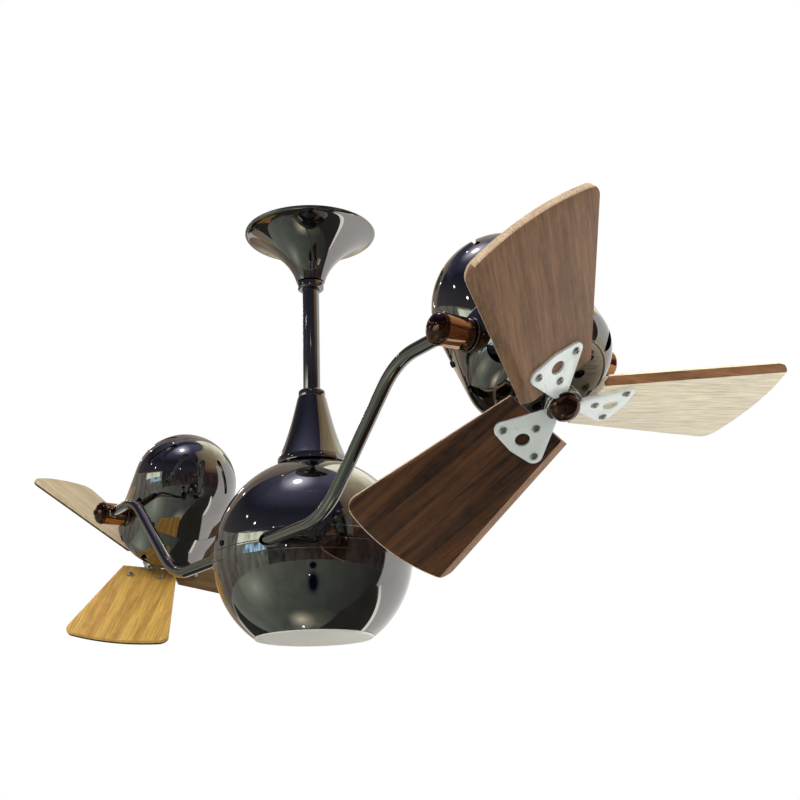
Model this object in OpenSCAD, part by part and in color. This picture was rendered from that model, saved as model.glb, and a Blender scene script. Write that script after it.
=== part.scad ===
// Twin head ceiling fan. Millimetres, +Z up.
// Origin: centre of the mounting face, where the bracket meets the ceiling.
// +X points at the right head. Both arms lie in one upright plane on the -Y side.

/* [Canopy and downrod] */
// Radius of the canopy rim at the ceiling
canopy_r = 75; // [70:1:90]
// Height of the trumpet canopy
canopy_h = 61; // [56:1:75]
// Wall of the spun canopy
canopy_wall = 1.4; // [1:0.1:2]
// Outside diameter of the downrod tube
rod_od = 19; // [17:0.5:22]
// Wall of the downrod tube
rod_wall = 2.3; // [1.6:0.1:3]
// Drop from the ceiling to the centre of the ball
drop = 378; // [350:1:600]
// Distance between the two ceiling screws
bracket_pitch = 89; // [84:1:100]

/* [Ball] */
// Outside radius of the ball
ball_r = 106; // [102:1:116]
// Wall of the two ball shells
ball_wall = 1.6; // [1.2:0.1:2.4]
// Height of each raised lip beside the seam
lip_h = 11.5; // [10:0.5:14]
// How far the lips stand proud of the ball
lip_proud = 1.2; // [0.6:0.1:2]
// Height the flat bottom cover cuts off the foot of the ball
cover_inset = 19; // [15:1:22]
// Radius of the neck cover where it meets the ball
neck_base_r = 38; // [34:1:44]

/* [Arms] */
// Outside diameter of the arm tube
arm_od = 12.7; // [11:0.1:14]
// Wall of the arm tube
arm_wall = 1.5; // [1.2:0.1:2]
// Depth of the arm plane inside the side of the ball
arm_inset = 21; // [20:0.5:22]
// Distance of each head pivot from the fan axis
pivot_x = 372; // [360:1:420]
// Height of the head pivots above the ball centre
pivot_rise = 115; // [100:1:125]
// Slope of the middle stretch of an arm, degrees
arm_slope = 42; // [38:1:48]

/* [Heads] */
// Outside radius of a head
head_r = 66; // [64:0.5:68]
// Wall of the head shells
head_wall = 1.8; // [1.4:0.1:2.4]
// Distance from the pivot to the flat front of a head
head_nose = 45; // [44:1:48]
// Tilt of the right head below level, degrees
right_tilt = 59; // [0:1:62]
// Tilt of the left head below level, degrees
left_tilt = 44; // [0:1:62]
// Number of vents around each shell
vents = 9; // [7:1:10]

/* [Blades] */
// Radius swept by the blade tips
sweep_r = 204; // [190:1:210]
// Thickness of a wooden blade
blade_t = 6.4; // [5:0.2:8]
// Half width of a blade at its root
root_half = 36; // [32:0.5:38]
// Half width of a blade near its tip
tip_half = 62; // [56:1:66]
// Pitch of the blades, degrees
pitch = 18; // [12:1:20]
// Distance from the pivot to the blade plate plane
plate_z = 72; // [70:1:76]
// Turn of the right blade set, degrees
right_spin = 221; // [0:1:359]
// Turn of the left blade set, degrees
left_spin = 210; // [0:1:359]

/* [Hidden] */
$fn = 96;
fit = 0.05;        // running fit, radial
gap = 0.3;         // clearance between faces of different bodies
seat = 0.1;        // clearance between fixed pieces
rod_r = rod_od / 2;
ball_z = -drop;    // height of the ball centre
pivot_z = ball_z + pivot_rise;
ball_in = ball_r - ball_wall;
arm_offset = ball_r - arm_inset;     // distance of the arm plane from the fan axis
cover_drop = ball_r - cover_inset;   // depth of the bottom cover below the ball centre

// Canopy, collars and neck
collar_wall = 5.3;
collar_r = rod_r + collar_wall;
collar_h = 9;
collar_bore = rod_r + seat;
canopy_tip_r = collar_r + 1.2;
canopy_lip = 1;
canopy_shoulder = 4;                 // depth of the rounded rim
tip_t = 1.6;                         // floor inside the tip of a cover
neck_gap = 1.6;                      // dark running gap above the ball
neck_z = sqrt(pow(ball_r, 2) - pow(neck_base_r, 2)) + neck_gap;
neck_skirt = 6;                      // straight part at the foot of the neck
neck_curve_h = 70.5;
neck_h = neck_skirt + neck_curve_h;
neck_tip_r = collar_r + 1.2;
neck_wall = 1.5;

// Hanger
ball_seat_r = 15.5;                  // hanger ball
hanger_z = -18;
seat_ring_r = 23;
bracket_t = 3;
bracket_w = 34;
slot_r = 2.75;
slot_len = 11;
pin_r = 2;
rod_top = hanger_z + 12;

// Spindle
shaft_r = 8.5;
socket_r = rod_r + 4;
socket_floor = neck_z + 6;           // above the ball centre
dome_hole_r = 24;
shoulder_z = 90;
nut_h = 8;
nut_r = 14;
bearing_r = 20;
bearing_h = 12;
bearing_up = 20;                     // underside of the upper bearing
bearing_low = -40;                   // underside of the lower bearing
drum_r = 20;
drum_z = 48;
drum_h = 36;

// Turret casting
hub_r = 26;
hub_top = 38;
hub_low = bearing_low - 4;
flange_r = hub_r + 11;
plate_low = -18;
plate_top = -12;
rim_t = 3.4;
rim_in = ball_in - 2 - rim_t;
rim_top = lip_h - 2;
rib_t = 6;
rib_h = 22;
web_hole_x = (flange_r + rim_in) / 2;
web_hole_r = (rim_in - flange_r) / 2 - 18;
block_half = 30;
block_out = sqrt(pow(ball_in - 1.2, 2) - pow(block_half, 2)) - 1;
block_in = arm_offset - 13;
lip_screw_r = 1.6;
lip_head_t = 1.2;
lip_screw_z = lip_h / 2;
upper_screw_turn = -91;
lower_screw_turn = -18;
arm_hole_r = arm_od / 2 + 2;
cover_t = 2;
cover_r = sqrt(pow(ball_r, 2) - pow(cover_drop - cover_t, 2)) - gap;

// Arm route
arm_r = arm_od / 2;
bend_low = 90;                       // radius of the bend beside the ball
bend_high = 75;                      // radius of the bend beside the head
arm_start = 4;
arm_reach = 242;                     // from the start of the lower bend to the pivot
arm_first = pivot_x - arm_reach;
arm_run = (pivot_rise - (bend_low + bend_high) * (1 - cos(arm_slope))) / sin(arm_slope);

// Pivot of a head
barrel_r = 14;
washer_t = 1.5;
washer_r = 12;
pad_out = head_r + 0.8;
pad_in = head_r - 5;
barrel_in = pad_out + washer_t;
barrel_out = arm_offset + 10;
bolt_r = 5;
bolt_in = pad_in - 19;
boss_r = 11;
knob_h = 12;
far_knob_h = 25;

// Head, measured along its own axis from the pivot towards the blades
seam_s = -15;
dome_s = -57;
shoulder_r = 27;
shoulder_s = head_nose - shoulder_r;
nose_hole_r = 14;
head_in = head_r - head_wall;
face_ring_r = 50;
frame_t = 6;
frame_s = seam_s - frame_t - 2;
cup_r = 16;
frame_gap = 2;                       // clearance of the frame inside the shells
leg_t = 10.2;
leg_out = head_in - frame_gap;
leg_r = leg_out - leg_t;
leg_w = 18;
frame_hole_x = (cup_r + leg_r) / 2;
frame_hole_r = (leg_r - cup_r) / 2 - 7;
rear_plate_s = -76;
motor_shaft_r = 5;
mbearing_r = 13;
mbearing_h = 8;
front_cup_s = -12;
rear_cup_s = -85;
core_r = leg_r - 0.2;
core_bore = 26.5;
slot_at = 41;                        // rear slots, degrees behind the widest part of the dome
rear_slot_l = 45;
rear_slot_w = 5.2;
vent_at = 37;                        // front vents, degrees up the shoulder
vent_curve = 15.5;                   // radius of the two arcs of a vent
vent_w = 10;
big_hole_x = 42;                     // the three rings of round holes in the face
big_hole_r = 6;
mid_hole_x = 26;
mid_hole_r = 4.9;
small_hole_x = 39.5;
small_hole_r = 2.6;
core_s = -64;
core_h = 30;
rotor_r = 26;
shell_screw_s = frame_s + frame_t / 2;

// Blade set
plate_t = 2.5;
hub_disc_r = 16;
hub_s = plate_z - 13;
hub_h = 14;
cap_r = 13.3;
plate_hole_r = 6.4;
plate_hole_x = 46;
screw_in_x = 30.7;
screw_out_x = 50.4;
screw_y = 19.6;
screw_r = 2;
screw_head_r = 3.6;
blade_root_x = 25.5;
blade_corner = 13;
blade_shoulder_x = 183;              // where tip_half is measured
PLATE_SCREWS = [[screw_in_x, 0], [screw_out_x, screw_y], [screw_out_x, -screw_y]];

// ---------------------------------------------------------------- helpers

// Point on a cubic curve through its four control points p
function bezier(p, t) =
    pow(1 - t, 3) * p[0] + 3 * t * pow(1 - t, 2) * p[1] + 3 * t * t * (1 - t) * p[2] + pow(t, 3) * p[3];

// Curve of n steps with the control points p
function curve(p, n) = [for (i = [0:n]) bezier(p, i / n)];

// Points of an arc about c from angle a0 to angle a1 in n steps
function arc(c, r, a0, a1, n) = [for (i = [0:n]) let (a = a0 + (a1 - a0) * i / n) c + r * [cos(a), sin(a)]];

// Direction of the outward normal of the step from a to b of an anticlockwise outline
function facing(a, b) = atan2(a[0] - b[0], b[1] - a[1]);

// Convex anticlockwise outline that runs at distance r around the corners
function rounded(corners, r) = [for (i = [0:len(corners) - 1])
    let (n = len(corners), a = facing(corners[(i + n - 1) % n], corners[i]),
         b = facing(corners[i], corners[(i + 1) % n]))
    each arc(corners[i], r, a, a + (b - a + 360) % 360, 6)];

// Tube along X from x0 to x1
module tube_x(x0, x1, r) {
    translate([x0, 0, 0]) rotate([0, 90, 0]) cylinder(r = r, h = x1 - x0);
}

// Rod along Y from y0 to y1
module rod_y(y0, y1, r) {
    translate([0, y0, 0]) rotate([-90, 0, 0]) cylinder(r = r, h = y1 - y0);
}

// Ring from z0 to z1
module ring(r_out, r_in, z0, z1) {
    translate([0, 0, z0]) difference() {
        cylinder(r = r_out, h = z1 - z0);
        translate([0, 0, -1]) cylinder(r = r_in, h = z1 - z0 + 2);
    }
}

// Places children around the axis at a radius, pointing outwards along X
module around(count, start = 0) {
    for (i = [0:count - 1]) rotate([0, 0, start + i * 360 / count]) children();
}

// ---------------------------------------------------------------- hanger and canopy

module ceiling_bracket() {
    leg_x = seat_ring_r - 3;
    color("silver") {
        difference() {
            translate([-bracket_pitch / 2 - 12, -bracket_w / 2, -bracket_t])
                cube([bracket_pitch + 24, bracket_w, bracket_t]);
            for (side = [-1, 1]) translate([side * bracket_pitch / 2, 0, -bracket_t - 1])
                linear_extrude(bracket_t + 2) {
                    for (end = [-1, 1]) translate([end * (slot_len / 2 - slot_r), 0]) circle(slot_r);
                    square([slot_len - 2 * slot_r, 2 * slot_r], center = true);
                }
            translate([0, 0, -bracket_t - 1]) cylinder(r = rod_r + 2, h = bracket_t + 2);
        }
        for (side = [-1, 1]) translate([side * leg_x - 1.5, -8, hanger_z - 4])
            cube([3, 16, -bracket_t - hanger_z + 4]);
        difference() {
            translate([0, 0, hanger_z - 11]) cylinder(r = seat_ring_r, h = 9);
            translate([0, 0, hanger_z]) sphere(ball_seat_r + seat);
            translate([0, 0, hanger_z - 12]) cylinder(r = rod_r + 1.6, h = 12);
        }
    }
}

module hanger_ball() {
    color("dimgray") translate([0, 0, hanger_z]) difference() {
        intersection() {
            sphere(ball_seat_r);
            cylinder(r = ball_seat_r + 1, h = 20, center = true);
        }
        cylinder(r = rod_r + fit, h = 40, center = true);
        rod_y(-20, 20, pin_r + fit);
    }
}

module rod_pins() {
    color("silver") {
        translate([0, 0, hanger_z]) rod_y(-ball_seat_r + 1, ball_seat_r - 1, pin_r);
        translate([0, 0, ball_z + socket_floor + socket_depth / 2])
            rod_y(-socket_r - 1.5, socket_r + 1.5, pin_r);
    }
}

module downrod() {
    floor_z = ball_z + socket_floor;
    color("dimgray") difference() {
        translate([0, 0, floor_z]) cylinder(r = rod_r, h = rod_top - floor_z);
        translate([0, 0, floor_z - 1]) cylinder(r = rod_r - rod_wall, h = rod_top - floor_z + 2);
        translate([0, 0, hanger_z]) rod_y(-20, 20, pin_r + fit);
        translate([0, 0, floor_z + socket_depth / 2]) rod_y(-20, 20, pin_r + fit);
    }
}

// Outline of the canopy from its rounded rim down to the tip of the trumpet, moved inwards by t
function canopy_curve(t) = [for (c = concat(
    curve([[canopy_r, -canopy_lip], [canopy_r, -canopy_shoulder * 0.6],
           [canopy_r * 0.975, -canopy_shoulder * 0.95], [canopy_r * 0.95, -canopy_shoulder]], 8),
    curve([[canopy_r * 0.95, -canopy_shoulder], [canopy_r * 0.83, -canopy_shoulder * 1.6],
           [canopy_tip_r + 8, -canopy_h * 0.45], [canopy_tip_r, -canopy_h]], 18)))
    c + [-t, 0.6 * t]];

module canopy() {
    inner = canopy_curve(canopy_wall);
    color("dimgray") {
        rotate_extrude() polygon(concat(
            [[canopy_r, 0]], canopy_curve(0),
            [for (i = [len(inner) - 1:-1:0]) inner[i]], [[canopy_r - canopy_wall, 0]]));
        ring(canopy_tip_r - 0.3, rod_r + seat, -canopy_h, tip_t - canopy_h);
    }
}

// Ring with rounded edges that is locked on the rod, top at z
module rod_collar(z) {
    edge = 1.2;
    translate([0, 0, z - collar_h]) difference() {
        rotate_extrude() polygon([
            [collar_bore, 0], [collar_r - edge, 0], [collar_r, edge],
            [collar_r, collar_h - edge], [collar_r - edge, collar_h], [collar_bore, collar_h]]);
        rotate([0, 0, 20]) translate([0, 0, collar_h / 2]) tube_x(0, collar_r + 1, pin_r + fit);
    }
}

module canopy_collar() { color("gray") rod_collar(-canopy_h - seat); }

neck_collar_top = ball_z + neck_z + neck_h + seat + collar_h;

module neck_collar() { color("gray") rod_collar(neck_collar_top); }

module collar_screws() {
    color("silver") for (z = [-canopy_h - seat, neck_collar_top])
        translate([0, 0, z - collar_h / 2]) rotate([0, 0, 20])
            tube_x(rod_r + 0.02, collar_r + 0.8, pin_r);
}

// Control points of the neck's curve above its skirt, moved inwards by t
function neck_points(t) = [for (c = [
    [neck_base_r, 0], [neck_base_r * 0.737, neck_curve_h * 0.277],
    [neck_tip_r + 5.8, neck_curve_h * 0.645], [neck_tip_r, neck_curve_h]])
    c + [-t, neck_z + neck_skirt]];

// Middle of the wall where the ledge inside the neck meets it
ledge = bezier(neck_points(neck_wall / 2), 0.36);
socket_depth = ledge[1] - socket_floor;

module neck_cover() {
    inner = curve(neck_points(neck_wall), 20);
    color("dimgray") translate([0, 0, ball_z]) {
        rotate_extrude() polygon(concat(
            [[neck_base_r - neck_wall, neck_z], [neck_base_r, neck_z]], curve(neck_points(0), 20),
            [for (i = [len(inner) - 1:-1:0]) inner[i]]));
        ring(neck_tip_r - 0.3, rod_r + seat, neck_z + neck_h - tip_t, neck_z + neck_h);
        ring(ledge[0], rod_r + seat, ledge[1], ledge[1] + 2);
    }
}

// ---------------------------------------------------------------- spindle and turret

module spindle() {
    top = socket_floor + socket_depth;
    low = bearing_low - gap - nut_h - 4;
    color("silver") translate([0, 0, ball_z]) difference() {
        union() {
            translate([0, 0, low]) cylinder(r = shaft_r, h = top - low - socket_depth);
            translate([0, 0, shoulder_z]) cylinder(r1 = shaft_r, r2 = socket_r, h = 8);
            translate([0, 0, shoulder_z + 8]) cylinder(r = socket_r, h = top - shoulder_z - 8);
        }
        translate([0, 0, socket_floor]) cylinder(r = rod_r + fit, h = socket_depth + 1);
        translate([0, 0, low - 1]) cylinder(r = 4, h = top - low);
        translate([0, 0, socket_floor + socket_depth / 2]) rod_y(-40, 40, pin_r + fit);
    }
}

module slip_ring_drum() {
    land = drum_h / 9;
    color("saddlebrown") translate([0, 0, ball_z + drum_z]) difference() {
        rotate_extrude() polygon(concat([[shaft_r + fit, 0]],
            [for (i = [0:8]) each [[drum_r - (i % 2 == 0 ? 2 : 0), i * land],
                                   [drum_r - (i % 2 == 0 ? 2 : 0), (i + 1) * land]]],
            [[shaft_r + fit, drum_h]]));
    }
}

module spindle_nut() {
    color("silver") translate([0, 0, ball_z + bearing_low - gap - nut_h]) difference() {
        cylinder(r = nut_r, h = nut_h, $fn = 6);
        translate([0, 0, -1]) cylinder(r = shaft_r + fit, h = nut_h + 2);
    }
}

module turret_hub() {
    color("lightgray") translate([0, 0, ball_z]) difference() {
        union() {
            translate([0, 0, hub_low]) cylinder(r = hub_r, h = hub_top - hub_low);
            translate([0, 0, hub_top - 6]) cylinder(r = flange_r, h = 6);
            translate([0, 0, plate_low]) cylinder(r = rim_in + 1, h = plate_top - plate_low);
            difference() {
                intersection() {
                    sphere(ball_in - seat);
                    translate([0, 0, plate_low]) cylinder(r = ball_r, h = rim_top - plate_low);
                }
                cylinder(r = rim_in, h = 2 * rim_top + 40, center = true);
            }
            translate([-block_half, -block_out, plate_low])
                cube([2 * block_half, block_out - block_in, rim_top - plate_low]);
            around(4, 45) translate([hub_r - 2, -rib_t / 2, plate_top - 1])
                cube([web_hole_x - hub_r + 2, rib_t, rib_h]);
        }
        for (z = [bearing_up, hub_low - 1]) translate([0, 0, z])
            cylinder(r = bearing_r + fit, h = z > 0 ? hub_top : bearing_low + bearing_h - hub_low + 1);
        translate([0, 0, hub_low - 1]) cylinder(r = shaft_r + 3, h = hub_top - hub_low + 2);
        translate([0, -arm_offset, 0]) tube_x(-ball_r, ball_r, arm_r + fit);
        for (a = [0:90:180]) rotate([0, 0, a]) translate([web_hole_x, 0, plate_low - 1])
            cylinder(r = web_hole_r, h = plate_top - plate_low + 2);
        lip_screw_holes(rim_in - rim_t);
    }
}

// Radial holes for the six lip screws
module lip_screw_holes(from_r, r = lip_screw_r + fit) {
    around(3, upper_screw_turn) translate([0, 0, lip_screw_z]) tube_x(from_r, ball_r + 4, r);
    around(3, lower_screw_turn) translate([0, 0, -lip_screw_z]) tube_x(from_r, ball_r + 4, r);
}

module hub_bearings() {
    color("gainsboro") for (z = [bearing_up, bearing_low]) translate([0, 0, ball_z])
        ring(bearing_r, shaft_r + fit, z, z + bearing_h);
}

module brush_block() {
    post_in = hub_r - 3;
    color("saddlebrown") translate([0, 0, ball_z]) {
        translate([post_in, -8, hub_top]) cube([12, 16, drum_z + drum_h - hub_top]);
        for (i = [1:2:7]) translate([drum_r + gap, -2, drum_z + (i + 0.2) * drum_h / 9])
            cube([post_in - drum_r, 4, drum_h / 9 * 0.6]);
    }
}

// Ball shell with its raised lip between z0 and z1, before its holes
module ball_shell(z0, z1, lip0, lip1) {
    difference() {
        intersection() {
            union() {
                sphere(ball_r);
                intersection() {
                    sphere(ball_r + lip_proud);
                    translate([0, 0, lip0]) cylinder(r = ball_r + 10, h = lip1 - lip0);
                }
            }
            translate([0, 0, z0]) cylinder(r = ball_r + 10, h = z1 - z0);
        }
        sphere(ball_in);
    }
}

// Holes in both lips where the arms pass
module arm_holes() {
    translate([0, -arm_offset, 0]) for (side = [0, 1]) mirror([side, 0, 0])
        tube_x(block_half + 4, ball_r, arm_hole_r);
}

module upper_dome() {
    color("dimgray") translate([0, 0, ball_z]) difference() {
        ball_shell(seat / 2, ball_r, 0, lip_h);
        cylinder(r = dome_hole_r, h = ball_r + 1);
        arm_holes();
        lip_screw_holes(ball_in - 4);
    }
}

module lower_bowl() {
    color("dimgray") translate([0, 0, ball_z]) difference() {
        ball_shell(-cover_drop + cover_t, -seat / 2, -lip_h, 0);
        arm_holes();
        lip_screw_holes(ball_in - 4);
    }
}

module lip_screws() {
    head_at = ball_r + lip_proud + 0.1;
    color("black") translate([0, 0, ball_z]) for (row = [[upper_screw_turn, 1], [lower_screw_turn, -1]])
        around(3, row[0]) translate([0, 0, row[1] * lip_screw_z]) {
            tube_x(rim_in, head_at, lip_screw_r);
            tube_x(head_at, head_at + lip_head_t, 2 * lip_screw_r);
        }
}

module bottom_cover() {
    skirt_z = -cover_drop + cover_t;
    mouth_r = sqrt(pow(ball_in, 2) - pow(skirt_z, 2));
    color("gainsboro") translate([0, 0, ball_z]) {
        translate([0, 0, -cover_drop]) cylinder(r1 = cover_r - 1.5, r2 = cover_r, h = cover_t - seat);
        ring(mouth_r - seat, mouth_r - 3, skirt_z - seat - 0.01, skirt_z + 6);
    }
}

// Straight stretch of arm tube along X, a touch slimmer than the bends it runs into
module arm_straight(x0, x1) {
    translate([x0, 0, 0]) rotate([0, 90, 0]) difference() {
        cylinder(r = arm_r - fit, h = x1 - x0);
        translate([0, 0, -1]) cylinder(r = arm_r - arm_wall + fit, h = x1 - x0 + 2);
    }
}

// Bend of arm tube, radius r, from the +X axis anticlockwise
module arm_bend(r) {
    rotate_extrude(angle = arm_slope) translate([r, 0]) difference() {
        circle(arm_r);
        circle(arm_r - arm_wall);
    }
}

// One arm: bent tube welded into the pivot barrel
module arm() {
    x1 = arm_first;
    x2 = x1 + bend_low * sin(arm_slope);
    z2 = bend_low * (1 - cos(arm_slope));
    x3 = x2 + arm_run * cos(arm_slope);
    x4 = x3 + bend_high * sin(arm_slope);
    end = pivot_x - washer_r - 0.5;
    lap = 0.8;
    translate([0, -arm_offset, ball_z]) {
        arm_straight(arm_start, x1 + lap);
        translate([x1, 0, bend_low]) rotate([90, 0, 0]) rotate([0, 0, -90]) arm_bend(bend_low);
        translate([x2, 0, z2]) rotate([0, -arm_slope, 0]) arm_straight(-lap, arm_run + lap);
        translate([x4, 0, pivot_rise - bend_high]) rotate([90, 0, 0]) rotate([0, 0, 90]) arm_bend(bend_high);
        translate([0, 0, pivot_rise]) arm_straight(x4 - lap, end);
        translate([pivot_x, arm_offset, pivot_rise]) difference() {
            rod_y(-barrel_out, -barrel_in, barrel_r);
            rod_y(-barrel_out - 1, -barrel_in + 1, bolt_r + fit);
            translate([0, -arm_offset, 0]) tube_x(-barrel_r - 5, end - pivot_x, arm_r - 2 * fit);
        }
    }
}

module right_arm() { color("dimgray") arm(); }
module left_arm() { color("dimgray") mirror([1, 0, 0]) arm(); }

module friction_washers() {
    color("black") for (side = [-1, 1]) translate([side * pivot_x, 0, pivot_z]) difference() {
        rod_y(-barrel_in, -pad_out - gap, washer_r);
        rod_y(-barrel_in - 1, -pad_out, bolt_r + fit);
    }
}

// ---------------------------------------------------------------- one head, in its own frame
// +Z is the air direction, +Y the pivot axis, the origin is the pivot.

// Outline of the head moved inwards by t, from the rear pole to the nose
function head_outline(t) = concat(
    [for (a = [0:7.5:90]) [(head_r - t) * sin(a), dome_s - (head_r - t) * cos(a)]],
    [for (a = [0:7.5:90]) [head_r - shoulder_r + (shoulder_r - t) * cos(a),
                           shoulder_s + (shoulder_r - t) * sin(a)]]);

// Shell of revolution cut to the stretch from s0 to s1
module head_shell(s0, s1) {
    intersection() {
        difference() {
            rotate_extrude() polygon(concat(head_outline(0), [[0, head_nose]]));
            rotate_extrude() polygon(concat(head_outline(head_wall), [[0, head_nose - head_wall]]));
        }
        translate([0, 0, s0]) cylinder(r = head_r + 5, h = s1 - s0);
    }
}

// Long round-ended slot through the dome of the rear shell
module rear_slot() {
    r = rear_slot_w / 2;
    x = rear_slot_l / 2 - r;
    translate([0, 0, dome_s]) rotate([0, slot_at, 0]) translate([head_r - 8, 0, 0]) rotate([0, 90, 0])
        linear_extrude(12) polygon(concat(arc([x, 0], r, -90, 90, 8), arc([-x, 0], r, 90, 270, 8)));
}

module rear_shell() {
    color("dimgray") difference() {
        head_shell(dome_s - head_r - 1, seam_s - seat / 2);
        around(vents, 28) rear_slot();
        shell_screw_holes();
    }
}

// Radial holes for the shell screws, just behind the seam
module shell_screw_holes() {
    around(4, 45) translate([0, 0, shell_screw_s]) tube_x(head_r - 12, head_r + 3, 1.5 + fit);
}

module front_shell() {
    color("dimgray") difference() {
        union() {
            head_shell(seam_s + seat / 2, head_nose + 1);
            for (side = [0, 1]) mirror([0, side, 0]) rod_y(pad_in, pad_out, barrel_r + 1);
            translate([0, 0, shoulder_s + sqrt(pow(shoulder_r, 2) - pow(face_ring_r - head_r + shoulder_r, 2))])
                rotate_extrude() translate([face_ring_r, 0]) circle(1.1, $fn = 32);
        }
        rod_y(-head_r - 3, head_r + 3, bolt_r + fit);
        around(vents, 21) front_vent();
        around(3, 54) face_hole(big_hole_x, big_hole_r);
        around(3, 6) face_hole(mid_hole_x, mid_hole_r);
        around(3, 28) face_hole(small_hole_x, small_hole_r);
        face_hole(0, nose_hole_r);
    }
}

// Round hole through the face of the front shell
module face_hole(x, r) {
    translate([x, 0, head_nose - 5]) cylinder(r = r, h = 10);
}

// Almond vent across the rounded shoulder of the front shell
module front_vent() {
    y = vent_curve - vent_w / 2;
    translate([head_r - shoulder_r, 0, shoulder_s]) rotate([0, -vent_at, 0]) translate([shoulder_r - 7, 0, 0])
        rotate([0, 90, 0]) linear_extrude(12) intersection() {
            translate([0, y]) circle(vent_curve);
            translate([0, -y]) circle(vent_curve);
        }
}

// Room inside the shells, less the clearance of the frame
module frame_room() {
    t = head_wall + frame_gap;
    rotate_extrude() polygon(concat(head_outline(t), [[0, head_nose - t]]));
}

// Three legs, rear plate and rear bearing cup
module rear_frame() {
    rear = rear_plate_s - 4;
    intersection() {
        frame_room();
        union() {
            around(3, 30) translate([leg_r, -leg_w / 2, rear]) cube([leg_t + 5, leg_w, frame_s - rear + 1]);
            translate([0, 0, rear]) cylinder(r = leg_r + 3, h = 4);
        }
    }
    translate([0, 0, rear_cup_s - 2]) cylinder(r = cup_r, h = rear_plate_s - rear_cup_s);
}

module motor_frame() {
    color("lightgray") difference() {
        union() {
            translate([0, 0, frame_s]) cylinder(r = head_in - seat, h = frame_t);
            translate([0, 0, frame_s]) cylinder(r = cup_r, h = front_cup_s + mbearing_h + 2 - frame_s);
            for (side = [0, 1]) mirror([0, side, 0]) {
                rod_y(bolt_in - 8, pad_in - seat / 2, boss_r);
                translate([-6, cup_r - 4, frame_s]) cube([12, pad_in - 6 - cup_r, -frame_s + 4]);
            }
            rear_frame();
        }
        translate([0, 0, front_cup_s]) cylinder(r = mbearing_r + fit, h = 40);
        translate([0, 0, rear_cup_s]) cylinder(r = mbearing_r + fit, h = 20);
        translate([0, 0, rear_cup_s - 5]) cylinder(r = motor_shaft_r + 3, h = head_nose - rear_cup_s);
        for (side = [0, 1]) mirror([0, side, 0]) rod_y(bolt_in - 2, head_r, bolt_r + fit);
        around(3, 90) translate([frame_hole_x, 0, frame_s - 1]) cylinder(r = frame_hole_r, h = frame_t + 2);
        around(3, 90) translate([frame_hole_x, 0, rear_plate_s - 5]) cylinder(r = frame_hole_r, h = 6);
        shell_screw_holes();
    }
}

module stator() {
    coil_in = core_bore + 3;
    coil_out = core_r - 6;
    coil_h = 7;
    color("peru") difference() {
        union() {
            translate([0, 0, core_s]) cylinder(r = core_r, h = core_h);
            for (s = [core_s - coil_h, core_s + core_h]) ring(coil_out, coil_in, s, s + coil_h);
        }
        translate([0, 0, core_s - 20]) cylinder(r = core_bore, h = core_h + 40);
    }
}

module motor_bearings() {
    color("gainsboro") for (s = [front_cup_s, rear_cup_s])
        ring(mbearing_r, motor_shaft_r + fit, s, s + mbearing_h);
}

module pivot_bolt() {
    color("silver") rod_y(-barrel_out - knob_h + 4, -bolt_in, bolt_r);
}

module clamp_knob() {
    base = barrel_out + gap;
    color("saddlebrown") difference() {
        translate([0, -base, 0]) rotate([90, 0, 0]) rotate_extrude() polygon(concat(
            [[0, 0], [barrel_r + 0.6, 0], [barrel_r + 0.6, 2]],
            [for (a = [0:9:72]) [barrel_r * cos(a), 2 + (knob_h - 4) * sin(a)]],
            [[3.5, knob_h - 1.2], [2.4, knob_h], [0, knob_h]]));
        rod_y(-barrel_out - knob_h + 4, -barrel_out, bolt_r + fit);
    }
}

module far_knob() {
    color("dimgray") {
        rod_y(bolt_in, pad_out + 1, bolt_r);
        translate([0, pad_out + seat / 2, 0]) rotate([-90, 0, 0]) rotate_extrude() polygon([
            [0, 0], [barrel_r, 0], [barrel_r, far_knob_h - 3], [barrel_r - 3, far_knob_h], [0, far_knob_h]]);
    }
}

module shell_screws() {
    color("silver") around(4, 45) translate([0, 0, shell_screw_s]) {
        tube_x(head_r - 10, head_r + 0.1, 1.5);
        tube_x(head_r + 0.1, head_r + 1.6, 3);
    }
}

module motor_shaft() {
    color("silver") translate([0, 0, rear_cup_s]) cylinder(r = motor_shaft_r, h = hub_s + hub_h - rear_cup_s);
}

module cage_rotor() {
    color("gray") ring(rotor_r, motor_shaft_r + fit / 2, core_s + 1, core_s + core_h - 1);
}

module blade_hub() {
    color("silver") difference() {
        union() {
            translate([0, 0, hub_s]) cylinder(r = hub_disc_r - 4, h = hub_h);
            translate([0, 0, hub_s + 3]) cylinder(r = hub_disc_r, h = hub_h - 3);
        }
        translate([0, 0, hub_s - 1]) cylinder(r = motor_shaft_r + fit / 2, h = hub_h + 2);
    }
}

// Frame of blade k: X outwards, Y across the blade, Z through its face
module blade_frame(k) {
    rotate([0, 0, 120 * k]) translate([0, 0, plate_z]) rotate([pitch, 0, 0]) children();
}

module plate_outline() {
    polygon(rounded([[20, -2.5], [screw_out_x, -screw_y], [screw_out_x + 2.5, 0],
                     [screw_out_x, screw_y], [20, 2.5]], 7.5));
}

module blade_plates() {
    color("whitesmoke") difference() {
        for (k = [0:2]) blade_frame(k) translate([0, 0, -plate_t]) difference() {
            linear_extrude(plate_t) plate_outline();
            translate([plate_hole_x, 0, -1]) cylinder(r = plate_hole_r, h = plate_t + 2);
            for (s = PLATE_SCREWS) translate([s[0], s[1], -1]) cylinder(r = screw_r + fit, h = plate_t + 2);
        }
        translate([0, 0, hub_s - 5]) cylinder(r = hub_disc_r + fit / 2, h = 40);
    }
}

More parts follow.
